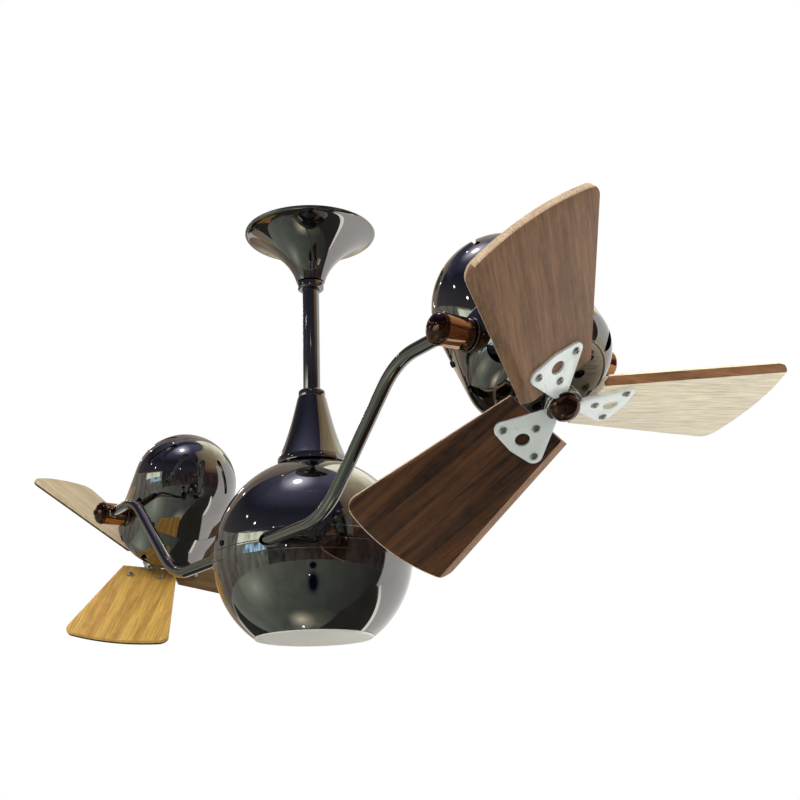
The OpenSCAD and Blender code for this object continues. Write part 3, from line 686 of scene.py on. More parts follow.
GLOW = Effect("Round glow", {"Size": 0.5, "Core": 0.0}, ("Mask",), _glow)


@dataclass(frozen=True)
class Finish:
    """A surface: one effect with its values, and the plain numbers of the shader.

    The values stand in the order of the effect's inputs; those left out keep theirs.
    """

    name: str
    slot: str
    effect: Effect
    values: tuple[Colour | float, ...]
    metallic: float = 0.0
    bump: float = 0.0
    bump_depth: float = 0.0001
    coat: float = 0.0
    shine: float = 0.5

    def material(self) -> bpy.types.Material:
        """Returns the material, which is built the first time."""
        found = bpy.data.materials.get(self.name)
        if found:
            return found
        made, net = blank(self.name)
        out = self.effect.use(net, dict(zip(self.effect.inputs, self.values)))
        wanted = {"Base Color": out["Colour"], "Roughness": out["Roughness"], "Metallic": self.metallic,
                  "Specular IOR Level": self.shine}
        if self.coat:
            wanted |= {"Coat Weight": self.coat, "Coat Roughness": 0.3}
        if self.bump:
            bump = net.add("Bump", strength=self.bump, distance=self.bump_depth, height=out["Height"])
            wanted["Normal"] = bump.outputs[0]
        net.shade(wanted)
        return made


def mirror(name: str, slot: str, colour: Colour, clean: float = 0.03, smeared: float = 0.12,
           scale: float = 40.0) -> Finish:
    """Makes a plated mirror finish.

    Args:
        name: Name of the material.
        slot: Material slot of the record.
        colour: Colour of the plating.
        clean: Roughness where it is clean.
        smeared: Roughness where it is smeared.
        scale: Scale of the smears.

    Returns:
        The finish.
    """
    dull = tuple(c * SMEAR_TONE for c in colour)
    values = (colour, dull, scale, clean, smeared)
    return Finish(name, slot, POLISH, values, metallic=1.0, bump=0.05, bump_depth=0.0006)


def timber(name: str, light: Colour, dark: Colour, fleck: Colour, figure: float, mottle: float, board: float,
           slot: str = "walnut") -> Finish:
    """Makes an oiled wood.

    Args:
        name: Name of the material.
        light: Colour between the bands.
        dark: Colour of the bands.
        fleck: Colour of the mottle.
        figure: Strength of the bands.
        mottle: Strength of the mottle.
        board: Any number, so that no two boards match.
        slot: Material slot of the record.

    Returns:
        The finish.
    """
    pore = tuple(c * PORE_TONE for c in dark)
    values = (light, dark, fleck, pore, figure, mottle, board)
    return Finish(name, slot, TIMBER, values, bump=0.25, bump_depth=0.0002, coat=0.03, shine=0.22)


NICKEL_TINT: Colour = (0.255, 0.242, 0.232)
BLACK_NICKEL = mirror("Black nickel plate", "black_nickel", NICKEL_TINT, 0.025, 0.11, 14.0)
ROD_NICKEL = mirror("Satin black nickel", "black_nickel", (0.25, 0.245, 0.24), 0.07, 0.16)
ARM_NICKEL = mirror("Black nickel tube", "black_nickel", (0.25, 0.24, 0.225), 0.025, 0.07, 30.0)
BRIGHT_NICKEL = mirror("Bright nickel plate", "bright_nickel", (0.74, 0.73, 0.70), 0.05, 0.16, 14.0)
BRONZE_NICKEL = mirror("Dark bronze plate", "bronze_nickel", (0.10, 0.052, 0.038))
# Bronze plating made lighter and more orange than the dark bronze: real bronze tone with a painted warm reflection,
# used on the barrels and the far knob.
WARM_REFLECTION_BRONZE = mirror("Copper toned plate", "bronze_nickel", (0.42, 0.22, 0.12))
DISC_NICKEL = Finish("Satin nickel disc", "bright_nickel", POLISH,
                     ((0.81, 0.80, 0.74), (0.78, 0.77, 0.71), 14.0, 0.32, 0.4), 0.3, 0.02, 0.0004)
SATIN_STEEL = Finish("Satin steel sheet", "satin_steel", BRUSHED,
                     ((0.88, 0.92, 0.89), (0.78, 0.83, 0.79), 0.24, 0.38), 0.45, 0.08)
ZINC_STEEL = Finish("Zinc plated steel", "plated_steel", BRUSHED,
                    ((0.66, 0.66, 0.64), (0.50, 0.50, 0.47), 0.2, 0.38), 1.0, 0.1)
DARK_STEEL = Finish("Blackened steel", "dark_steel", CAST,
                    ((0.045, 0.045, 0.05), (0.02, 0.02, 0.022), 1400.0, 0.22, 0.4), 0.9, 0.1)
BEARING_STEEL = Finish("Ground steel", "bearing_steel", BRUSHED,
                       ((0.68, 0.69, 0.70), (0.52, 0.53, 0.54), 0.12, 0.25), 1.0, 0.05)
CAST_ALLOY = Finish("Die-cast alloy", "cast_alloy", CAST,
                    ((0.58, 0.58, 0.57), (0.36, 0.36, 0.35), 800.0, 0.42, 0.62), 0.9, 0.35)
IRON_STACK = Finish("Stacked iron sheets", "lamination_iron", STACK,
                    ((0.30, 0.27, 0.25), (0.05, 0.04, 0.04), 320.0, 0.35, 0.55), 0.7, 0.4)
NYLON = Finish("Moulded black nylon", "black_nylon", CAST,
               ((0.03, 0.03, 0.032), (0.05, 0.05, 0.048), 1600.0, 0.42, 0.6), 0.0, 0.2)
PHENOLIC = Finish("Phenolic board", "phenolic", CAST,
                  ((0.20, 0.095, 0.045), (0.10, 0.05, 0.03), 1100.0, 0.35, 0.5), 0.0, 0.15)
FRICTION = Finish("Friction disc", "friction_pad", CAST,
                  ((0.025, 0.024, 0.024), (0.05, 0.045, 0.04), 1500.0, 0.6, 0.8), 0.0, 0.3)

GOLD = "golden_walnut"
UPPER_WOOD = timber("Mottled walnut", (0.228, 0.122, 0.068), (0.095, 0.049, 0.031), (0.238, 0.136, 0.074),
                    0.55, 0.8, 1.0)
STRIPED_WOOD = timber("Striped walnut", (0.100, 0.040, 0.015), (0.013, 0.006, 0.005), (0.13, 0.055, 0.020),
                      1.0, 0.3, 2.3)
# Walnut lightened almost to white all over: painted sheen of grazing light on the right head's third blade, which also
# takes it on its rim.
SHEEN_WOOD = timber("Walnut with painted pale sheen", (0.97, 0.86, 0.63), (0.88, 0.73, 0.48), (0.98, 0.90, 0.70), 0.4, 0.3, 4.1)
GOLD_WOOD = timber("Golden walnut", (0.63, 0.38, 0.085), (0.34, 0.145, 0.028), (0.66, 0.45, 0.15),
                   0.65, 0.35, 5.2, GOLD)
# Golden walnut lightened to a grey tan: painted sheen of grazing light on the left head's upper blade.
SHEEN_GOLD_WOOD = timber("Walnut with painted grey sheen", (0.54, 0.43, 0.27), (0.36, 0.25, 0.13), (0.60, 0.48, 0.28), 0.5, 0.4, 8.9, GOLD)
BROWN_WOOD = timber("Brown walnut", (0.19, 0.11, 0.040), (0.09, 0.046, 0.018), (0.24, 0.15, 0.06),
                    0.8, 0.4, 9.7, GOLD)
TAN_EDGE = timber("Tan board edge", (0.20, 0.105, 0.050), (0.095, 0.048, 0.024), (0.26, 0.15, 0.08), 0.7, 0.5, 6.6)
FAWN_EDGE = timber("Fawn board edge", (0.36, 0.21, 0.13), (0.22, 0.12, 0.07), (0.42, 0.27, 0.17), 0.5, 0.4, 5.1)
RED_EDGE = timber("Red board edge", (0.34, 0.15, 0.055), (0.11, 0.038, 0.018), (0.42, 0.22, 0.09), 0.9, 0.4, 7.4)
# Near-black tone for the front arris of the left-head boards: a painted shade line along the edge.
RIM_SHADE = timber("Board rim with painted shade", (0.030, 0.018, 0.012), (0.012, 0.008, 0.006), (0.05, 0.032, 0.02),
                   0.7, 0.3, 3.3)
# Pale tone for the back arris and the tip of two right-head boards: a painted highlight where light catches the rim.
RIM_HIGHLIGHT = timber("Board rim with painted highlight", (0.58, 0.42, 0.28), (0.30, 0.18, 0.10), (0.66, 0.50, 0.34), 0.6, 0.4, 3.9)


# ------------------------------------------------------------------ pieces


class Side(Enum):
    """The two heads: which way each one looks, how far it tilts down and how its blades stand."""

    RIGHT = ("right", 1, 59.0, 221.0)
    LEFT = ("left", -1, 44.0, 210.0)

    def __init__(self, word: str, sign: int, tilt: float, spin: float) -> None:
        """Keeps the values of the option."""
        self.word, self.sign, self.tilt, self.spin = word, sign, tilt, spin

    def place(self) -> Matrix:
        """Returns the head's frame: its origin at the pivot, Z out of its nose."""
        return shift(self.sign * PIVOT_X, 0, BALL_Z + PIVOT_RISE) @ turn("Y", self.sign * (90 + self.tilt))


def place_piece(name: str, mesh: Mesh, body: str, finishes: Sequence[Finish], replaced: Sequence[str] = (),
                place: Matrix = Matrix()) -> None:
    """Puts a piece in the scene, on its body.

    Args:
        name: Name of the piece.
        mesh: Its mesh, in its own frame.
        body: CAD body it moves with.
        finishes: One per material index.
        replaced: CAD nodes it stands for.
        place: Where its own frame is.
    """
    mesh.name = name
    piece = bpy.data.objects.new(name, mesh)
    bpy.context.scene.collection.objects.link(piece)
    piece.matrix_world = place
    for finish in finishes:
        mesh.materials.append(finish.material())
    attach(piece, body)
    if replaced:
        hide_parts(*replaced)
    log.info("%s: %d faces on %s", name, len(mesh.polygons), body)


def turned(profile: Sequence[Point], steps: int, place: Matrix = Matrix()) -> Mesh:
    """Returns the finished mesh of one turned profile."""
    work = bmesh.new()
    revolve(work, profile, steps, place)
    return finished(work)


def spun(profile: Sequence[Point], steps: int, tools: Mesh | None = None) -> Mesh:
    """Returns a turned shell with the normals of its profile, cut by tools where they are given."""
    mesh = turned(profile, steps)
    if tools:
        mesh = carve(mesh, tools)
    true_normals(mesh, profile)
    return mesh


def socket_screw(work: Work, place: Matrix, radius: float, height: float) -> None:
    """Adds a round screw head with a hexagonal socket, its seat at the frame's origin, looking along +Z."""
    edge = min(0.35, height * 0.3)
    head = [(0, -0.6), (radius, -0.6), (radius, height - edge), (radius - edge, height), (radius * 0.62, height)]
    hole = [(-radius * 0.5, height - 0.15), (-radius * 0.48, height * 0.25), (0, height * 0.15)]
    revolve(work, head + hole, 24, place, sides=6)


def pan_screw(work: Work, place: Matrix, radius: float, height: float, turned_by: float) -> None:
    """Adds a domed screw head with a cross recess.

    Args:
        work: Mesh in the making.
        place: Frame with its origin on the seat and +Z out of it.
        radius: Radius of the head.
        height: Height of the head.
        turned_by: Turn of the recess in degrees.
    """
    steps, rings = 40, []
    for share in (1.0, 1.0, 0.97, 0.9, 0.8, 0.7, 0.62, 0.55, 0.46, 0.36, 0.26, 0.18, 0.1, 0.0):
        ring = []
        for i in range(steps if share else 1):
            a = 2 * math.pi * i / steps
            b = a - math.radians(turned_by)
            in_cross = share < 0.6 and min(abs(share * math.cos(b)), abs(share * math.sin(b))) < 0.13
            z = height * (0.35 + 0.65 * math.sqrt(max(0.0, 1 - share**2.6))) if rings else -0.3
            spot = Vector((share * math.cos(a) * radius, share * math.sin(a) * radius, z - in_cross * height * 0.75))
            ring.append(work.verts.new(place @ (spot * MM)))
        rings.append(ring)
    skin(work, rings)


def cap_nut(work: Work, place: Matrix, flat: float, height: float) -> None:
    """Adds a domed nut with six flats, its seat at the frame's origin, looking along +Z."""
    top = height * 0.5
    nut = [(0, 0), (-flat * 0.94, 0), (-flat, 0.3), (-flat, height * 0.45), (-flat * 0.9, top)]
    dome = [(flat * 0.82 * math.cos(t), top + flat * 0.75 * math.sin(t)) for t in (0, 0.4, 0.8, 1.15, 1.4)]
    revolve(work, nut + dome + [(0, top + flat * 0.75)], 36, place, sides=6)


class Assembly:
    """Pieces that move with one body, in one frame, with one first word in their names."""

    body: str
    word: str = ""
    place: Matrix = Matrix()

    def put(self, name: str, shape: Work | Mesh, node: str, *finishes: Finish, place: Matrix | None = None) -> None:
        """Puts one piece of the assembly in the scene.

        Args:
            name: Name of the piece, without the first word.
            shape: Its mesh, finished or still in the making.
            node: CAD node it stands for, empty where it only adds to one.
            finishes: One per material index.
            place: Where its own frame is, the assembly's when left out.
        """
        mesh = shape if isinstance(shape, Mesh) else finished(shape)
        nodes = [self.word + node] if node else []
        place_piece(self.word + name, mesh, self.body, finishes, nodes, self.place if place is None else place)

    def dress(self, **finishes: Finish) -> None:
        """Gives carried-over CAD nodes their finishes, by their names without the first word."""
        for node, finish in finishes.items():
            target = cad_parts[self.word + node]
            if not target.data.materials:
                target.data.materials.append(finish.material())
            for slot in target.material_slots:
                slot.material = finish.material()
            log.info("%s: kept, %s", self.word + node, finish.name)


@dataclass
class Hanger(Assembly):
    """Everything that hangs still from the ceiling: bracket, canopy, downrod, collars and neck."""

    rim_r: float = 75.0
    height: float = 61.0
    shoulder: float = 4.0
    wall: float = 1.4
    tip_r: float = 16.0
    floor_t: float = 1.6
    rod_r: float = 9.5
    rod_wall: float = 2.3
    rod_end: float = 6.0
    drop: float = 378.0
    collar_r: float = 14.8
    collar_h: float = 9.0
    collar_edge: float = 1.2
    screw_turn: float = 20.0
    fit: float = 0.1
    neck_r: float = 38.0
    neck_wall: float = 1.5
    neck_foot: float = 100.55
    neck_skirt: float = 6.0
    neck_curve: float = 70.5
    body: str = "hanger"

    def __post_init__(self) -> None:
        """Works out the bore round the rod and the height of each collar's top."""
        self.bore = self.rod_r + self.fit
        neck_top = self.neck_foot + self.neck_skirt + self.neck_curve
        self.tops = {"canopy": -self.height - self.fit, "neck": neck_top + self.fit + self.collar_h - self.drop}

    def canopy(self) -> None:
        """Spins the trumpet canopy with its rolled rim."""
        rim, edge, wall, tip, low = self.rim_r, self.shoulder, self.wall, self.tip_r, -self.height
        outer = bezier([(rim, -1.0), (rim, -edge * 0.6), (rim * 0.975, -edge * 0.95), (rim * 0.95, -edge)], 12)
        outer += bezier([(rim * 0.95, -edge), (rim * 0.83, -edge * 1.6), (tip + 8, low * 0.45), (tip, low)], 30)[1:]
        inner = [(r - wall, z + 0.6 * wall) for r, z in outer[::-1]]
        floor = [(self.bore, low), (self.bore, self.floor_t + low), (tip - wall, self.floor_t + low)]
        top = [(rim - wall, -0.3), (rim - wall + 0.4, 0.0), (rim - 0.4, 0.0)]
        profile = outer + floor + [p for p in inner if self.floor_t + low < p[1] < -0.3] + top
        self.put("canopy_shell", spun(profile, 160), "canopy", BLACK_NICKEL)

    def rod(self) -> None:
        """Draws the downrod as a thick-walled tube."""
        top, low = -self.rod_end, -self.drop + self.neck_foot + self.rod_end
        bore = self.rod_r - self.rod_wall
        profile = eased([(bore, low), (self.rod_r, low), (self.rod_r, top), (bore, top)], 0.5)
        self.put("downrod_tube", turned(profile, 96), "downrod", ROD_NICKEL)

    def collars(self) -> None:
        """Turns the two collars, each with a set screw on the side seen in the portrait."""
        r, edge = self.collar_r, self.collar_edge
        work = bmesh.new()
        for word, top in self.tops.items():
            low = top - self.collar_h
            profile = eased([(self.bore, low), (r - edge, low), (r, low + edge), (r, top - edge), (r - edge, top),
                             (self.bore, top)], 0.6, 4)
            self.put(word + "_collar_ring", turned(profile, 96), word + "_collar", BLACK_NICKEL)
            place = shift(0, 0, top - self.collar_h / 2) @ turn("Z", self.screw_turn) @ turn("Y", 90)
            socket_screw(work, place @ shift(0, 0, r), 2.0, 0.7)
        self.put("set_screws", work, "collar_screws", DARK_STEEL)

    def neck(self) -> None:
        """Spins the neck cover that stands over the ball."""
        r, wall, tip, low = self.neck_r, self.neck_wall, self.tip_r, self.neck_foot
        foot = low + self.neck_skirt
        top = foot + self.neck_curve
        outer = bezier([(r, foot), (r * 0.737, foot + self.neck_curve * 0.277),
                        (tip + 5.8, foot + self.neck_curve * 0.645), (tip, top)], 36)
        inner = [(x - wall, z) for x, z in outer[::-1] if z < outer[-1][1] - self.floor_t]
        under = outer[-1][1] - self.floor_t
        floor = [(self.bore, outer[-1][1]), (self.bore, under), (tip - wall, under)]
        edge = [(r - wall, low), (r - 0.35, low), (r, low + 0.35)]
        profile = [(x, z - self.drop) for x, z in outer + floor + inner + edge]
        self.put("neck_shell", spun(profile, 160), "neck_cover", BLACK_NICKEL)

    def build(self) -> None:
        """Makes every piece of the hanger."""
        self.canopy()
        self.rod()
        self.collars()
        self.neck()
        self.dress(ceiling_bracket=ZINC_STEEL, hanger_ball=NYLON, rod_pins=ZINC_STEEL, spindle=BEARING_STEEL,
                   slip_ring_drum=PHENOLIC, spindle_nut=ZINC_STEEL)


@dataclass
class Turret(Assembly):
    """The ball that turns below the neck, with its lips, bottom cover and both arms."""

    ball_r: float = 106.0
    wall: float = 1.6
    lip_h: float = 11.5
    proud: float = 1.2
    gap: float = 0.05
    mouth_r: float = 24.0
    cover_drop: float = 87.0
    cover_r: float = 63.0
    cover_t: float = 1.9
    arm_r: float = 6.35
    arm_y: float = -85.0
    arm_first: float = 130.0
    low_bend: float = 90.0
    high_bend: float = 75.0
    slope: float = 42.0
    barrel_r: float = 14.0
    barrel_in: float = 68.3
    barrel_out: float = 95.0
    screw_rows: tuple[tuple[float, int], ...] = ((-91.0, 1), (-18.0, -1))
    body: str = "turret"

    def __post_init__(self) -> None:
        """Works out the frame of the turret."""
        self.place = shift(0, 0, BALL_Z)

    def half_ball(self, up: bool) -> list[Point]:
        """Returns the closed profile of one half of the ball."""
        big, out, inside = self.ball_r + self.proud, self.ball_r, self.ball_r - self.wall

        def latitude(rise: float, radius: float) -> float:
            """Returns the angle in degrees at which a sphere reaches a height."""
            return math.degrees(math.asin(rise / radius))

        def end(radius: float) -> float:
            """Returns the angle at which a sphere of this half ends."""
            return math.degrees(math.acos(self.mouth_r / radius)) if up else latitude(self.cover_drop - 2, radius)

        lip = latitude(self.lip_h, big)
        outer = arc((0, 0), big, latitude(0.45, big), lip - 0.22, 6)
        outer += [(big * math.cos(math.radians(lip)) - 0.35, self.lip_h)]
        outer += arc((0, 0), out, latitude(self.lip_h, out), end(out), 60)
        inner = arc((0, 0), inside, end(inside), 0.1, 48)
        profile = [(big - 0.45, self.gap)] + outer + inner + [(inside, self.gap)]
        return profile if up else [(r, -z) for r, z in profile]

    def halves(self) -> None:
        """Spins both halves and cuts the oval holes where the arms leave."""
        bore = self.arm_r + 2.0
        for up, name, node in ((True, "dome_shell", "upper_dome"), (False, "bowl_shell", "lower_bowl")):
            cutter = bmesh.new()
            for sign in (1, -1):
                side = shift(0, self.arm_y, 0) @ turn("Y", 90 * sign)
                revolve(cutter, [(0, 34), (bore, 34), (bore, 106), (0, 106)], 64, side)
            self.put(name, spun(self.half_ball(up), 224, finished(cutter)), node, BLACK_NICKEL)

    def screws(self) -> None:
        """Makes the socket screws that hold both lips."""
        work = bmesh.new()
        outwards = turn("Y", 90) @ shift(0, 0, self.ball_r + self.proud)
        for first, sign in self.screw_rows:
            for k in range(3):
                place = turn("Z", first + 120 * k) @ shift(0, 0, sign * self.lip_h / 2) @ outwards
                socket_screw(work, place, 3.2, 1.2)
        self.put("lip_screw_heads", work, "lip_screws", DARK_STEEL)

    def cover(self) -> None:
        """Presses the flat bottom cover with its rolled edge."""
        low, r = -self.cover_drop, self.cover_r
        high = low + self.cover_t
        mouth = math.sqrt((self.ball_r - self.wall) ** 2 - (self.cover_drop - 2) ** 2)
        profile = eased([(0, low), (r - 1.5, low), (r, high), (mouth - 0.1, high), (mouth - 0.1, low + 8),
                         (mouth - 3, low + 8), (mouth - 3, high), (0, high)], 0.7, 5)
        self.put("bottom_disc", turned(profile, 160), "bottom_cover", DISC_NICKEL)

    def arm_path(self) -> list[Vector]:
        """Returns the centre line of an arm, from inside the ball to its barrel."""
        bend = math.radians(self.slope)
        turns = [bend * i / 20 for i in range(21)]
        low = [Vector((self.arm_first + self.low_bend * math.sin(t), 0, self.low_bend * (1 - math.cos(t))))
               for t in turns]
        run = (PIVOT_RISE - (self.low_bend + self.high_bend) * (1 - math.cos(bend))) / math.sin(bend)
        start = low[-1] + Vector((math.cos(bend), 0, math.sin(bend))) * run
        centre = start + Vector((math.sin(bend), 0, -math.cos(bend))) * self.high_bend
        high = [centre + Vector((-math.sin(t), 0, math.cos(t))) * self.high_bend
                for t in (bend * (1 - i / 20) for i in range(21))]
        last = Vector((PIVOT_X - self.barrel_r + 3, 0, PIVOT_RISE))
        return [Vector((x, 0, 0)) for x in (4, 40, 100)] + low + high + [last]

    def arms(self) -> None:
        """Bends both arms and welds a pivot barrel to each."""
        path = [p + Vector((0, self.arm_y, 0)) for p in self.arm_path()]
        first, last, big, tube = self.barrel_in, self.barrel_out, self.barrel_r, self.arm_r
        ring = eased([(BOLT_BORE, first), (big, first), (big, last), (BOLT_BORE, last)], 0.8, 4)
        fillet = [(-1, -3.2), (0.1, -3.0), (0.5, -2.2), (1.3, -1.0), (1.9, 0.8), (-1, 3.0)]
        for side in Side:
            work = bmesh.new()
            sweep(work, path, tube, Vector((0, 1, 0)), 48)
            bar = len(work.faces)
            revolve(work, ring, 72, shift(PIVOT_X, 0, PIVOT_RISE) @ turn("X", 90))
            for face in list(work.faces)[bar:]:
                face.material_index = 1
            weld = shift(PIVOT_X - big + 0.4, self.arm_y, PIVOT_RISE) @ turn("Y", 90)
            revolve(work, [(tube + r, z) for r, z in fillet], 40, weld)
            if side is Side.LEFT:
                bmesh.ops.scale(work, vec=(-1, 1, 1), verts=work.verts)
            # The barrels take the bronze with a painted warm reflection.
            self.put(side.word + "_arm_tube", work, side.word + "_arm", ARM_NICKEL, WARM_REFLECTION_BRONZE)

    def build(self) -> None:
        """Makes every piece of the turret."""
        self.halves()
        self.screws()
        self.cover()
        self.arms()
        self.dress(turret_hub=CAST_ALLOY, hub_bearings=BEARING_STEEL, brush_block=PHENOLIC, friction_washers=FRICTION)


@dataclass
class Head(Assembly):
    """One tilting motor head: two slotted shells, its knobs and the motor inside."""

    side: Side
    head_r: float = 66.0
    wall: float = 1.8
    nose: float = 45.0
    seam: float = -15.0
    gap: float = 0.05
    dome: float = -57.0
    shoulder_r: float = 27.0
    ring_r: float = 50.0
    bead_r: float = 1.1
    nose_hole: float = 14.0
    pad_r: float = 15.0
    pad_in: float = 61.0
    pad_out: float = 66.8
    knob_r: float = 14.0
    knob_base: float = 95.3
    knob_h: float = 12.0
    far_h: float = 25.0
    vents: int = 9
    slot_at: float = 41.0
    slot_l: float = 45.0
    slot_w: float = 5.2
    slot_turn: float = 28.0
    vent_at: float = 37.0
    vent_curve: float = 15.5
    vent_w: float = 10.0
    vent_turn: float = 21.0
    punch_l: float = 12.0
    screw_turn: float = 45.0
    screw_z: float = -20.0
    face_holes: tuple[tuple[float, float, float], ...] = ((54.0, 42.0, 6.0), (6.0, 26.0, 4.9), (28.0, 39.5, 2.6))

    def __post_init__(self) -> None:
        """Works out the names, the frame and the centre of the shoulder of the head."""
        self.word = self.side.word + "_"
        self.body = self.word + "head"
        self.place = self.side.place()
        self.centre = (self.head_r - self.shoulder_r, self.nose - self.shoulder_r)

    def outline(self, inset: float, front: bool) -> list[Point]:
        """Returns the front or the rear half of the head's profile, moved inwards."""
        if front:
            return arc(self.centre, self.shoulder_r - inset, 0, 90, 28)
        return [(0.0, self.dome - self.head_r + inset)] + arc((0, self.dome), self.head_r - inset, -90, 0, 40)[1:]

    def rear_profile(self) -> list[Point]:
        """Returns the closed profile of the rear shell."""
        r, cut = self.head_r, self.seam - self.gap
        lip = [(r, cut - 0.5), (r - 0.15, cut - 0.12), (r - 0.5, cut), (r - self.wall, cut)]
        return self.outline(0, False) + lip + self.outline(self.wall, False)[::-1]

    def front_profile(self) -> list[Point]:
        """Returns the closed profile of the front shell, with its round bead."""
        r, cut, bead = self.head_r, self.seam + self.gap, self.ring_r
        lip = [(r - 0.5, cut), (r - 0.15, cut + 0.12), (r, cut + 0.5)]
        rise = math.sqrt(self.shoulder_r**2 - (bead - self.centre[0]) ** 2)
        tilt = math.degrees(math.atan2(rise, bead - self.centre[0]))
        curve = self.outline(0, True)
        lip += [p for p in curve if p[0] > bead + 1.2]
        lip += arc((bead, self.centre[1] + rise), self.bead_r, tilt - 90, tilt + 90, 10)
        lip += [p for p in curve if p[0] < bead - 1.2]
        hole, nose = self.nose_hole, self.nose
        lip += [(hole + 0.5, nose), (hole, nose - 0.5), (hole, nose - self.wall)]
        return lip + self.outline(self.wall, True)[::-1] + [(r - self.wall, cut)]

    def punch(self, work: Work, outline: Sequence[Point], place: Matrix) -> None:
        """Adds a straight tool with this outline to a mesh in the making."""
        rings = [[work.verts.new(place @ (Vector((x, y, z)) * MM)) for x, y in outline] for z in (0, self.punch_l)]
        skin(work, rings)
        for ring in rings:
            work.faces.new(ring)

    def slots(self) -> Mesh:
        """Returns the tools that cut the long rear slots, each with round ends."""
        work = bmesh.new()
        radius = self.slot_w / 2
        reach = self.slot_l / 2 - radius
        stadium = arc((reach, 0), radius, -90, 90, 12) + arc((-reach, 0), radius, 90, 270, 12)
        for k in range(self.vents):
            place = turn("Z", self.slot_turn + 360 * k / self.vents) @ shift(0, 0, self.dome)
            place = place @ turn("Y", self.slot_at) @ shift(self.head_r - 8, 0, 0) @ turn("Y", 90)
            self.punch(work, stadium, place)
        return finished(work)

    def front_tools(self) -> Mesh:
        """Returns the tools that cut the almond vents and the round holes of the front shell."""
        work = bmesh.new()
        away = self.vent_curve - self.vent_w / 2
        half = math.degrees(math.acos(away / self.vent_curve))
        almond = [p for y, a in ((away, -90), (-away, 90))
                  for p in arc((0, y), self.vent_curve, a - half, a + half, 12)[:-1]]
        for k in range(self.vents):
            place = turn("Z", self.vent_turn + 360 * k / self.vents) @ shift(self.centre[0], 0, self.centre[1])
            place = place @ turn("Y", -self.vent_at) @ shift(self.shoulder_r - 7, 0, 0) @ turn("Y", 90)
            self.punch(work, almond, place)
        for first, x, r in self.face_holes:
            for k in range(3):
                place = turn("Z", first + 120 * k) @ shift(x, 0, self.nose)
                revolve(work, [(0, -5), (r, -5), (r, 5), (0, 5)], 48, place)
        return finished(work)

    def shells(self) -> None:
        """Spins and slots both shells, and turns the pads between them and the barrels."""
        self.put("rear_cowl", spun(self.rear_profile(), 192, self.slots()), "rear_shell", BLACK_NICKEL)
        self.put("front_cowl", spun(self.front_profile(), 192, self.front_tools()), "front_shell", BLACK_NICKEL)
        work = bmesh.new()
        r, first, last = self.pad_r, self.pad_in, self.pad_out
        for sign in (1, -1):
            pad = eased([(BOLT_BORE, first), (r, first), (r, last), (BOLT_BORE, last)], 0.6, 4)
            revolve(work, pad, 64, turn("X", -90 * sign))
        self.put("pivot_pads", work, "", BLACK_NICKEL)

    def knobs(self) -> None:
        """Turns the domed clamp knob, the far knob and the screws round the seam."""
        r, h, far = self.knob_r, self.knob_h, self.far_h
        foot = [(0, 0), (r + 0.3, 0), (r + 0.6, 0.3), (r + 0.6, 1.6), (r + 0.2, 2.0)]
        turns = [math.radians(a) for a in range(0, 76, 5)]
        dome = [(r * math.cos(t), 2 + (h - 4) * math.sin(t)) for t in turns]
        tip = [(3.5, h - 1.4), (3.0, h - 0.3), (2.2, h), (0, h)]
        near = turned(foot + dome + tip, 80, turn("X", 90) @ shift(0, 0, self.knob_base))
        self.put("clamp_dome", near, "clamp_knob", BRONZE_NICKEL)
        profile = eased([(0, 0), (r, 0), (r, far - 3), (r - 3, far - 0.4), (0, far)], 1.6, 6)
        behind = turned(profile, 80, turn("X", -90) @ shift(0, 0, self.pad_out + self.gap))
        # The far knob takes the bronze with a painted warm reflection.
        self.put("far_dome", behind, "far_knob", WARM_REFLECTION_BRONZE)
        work = bmesh.new()
        for k in range(4):
            place = turn("Z", self.screw_turn + 90 * k) @ shift(0, 0, self.screw_z) @ turn("Y", 90)
            pan_screw(work, place @ shift(0, 0, self.head_r), 3.0, 1.6, 20 + 31 * k)
        self.put("shell_screw_heads", work, "shell_screws", DARK_STEEL)

    def build(self) -> None:
        """Makes every piece of the head."""
        self.shells()
        self.knobs()
        self.dress(motor_frame=CAST_ALLOY, stator=IRON_STACK, motor_bearings=BEARING_STEEL, pivot_bolt=ZINC_STEEL)


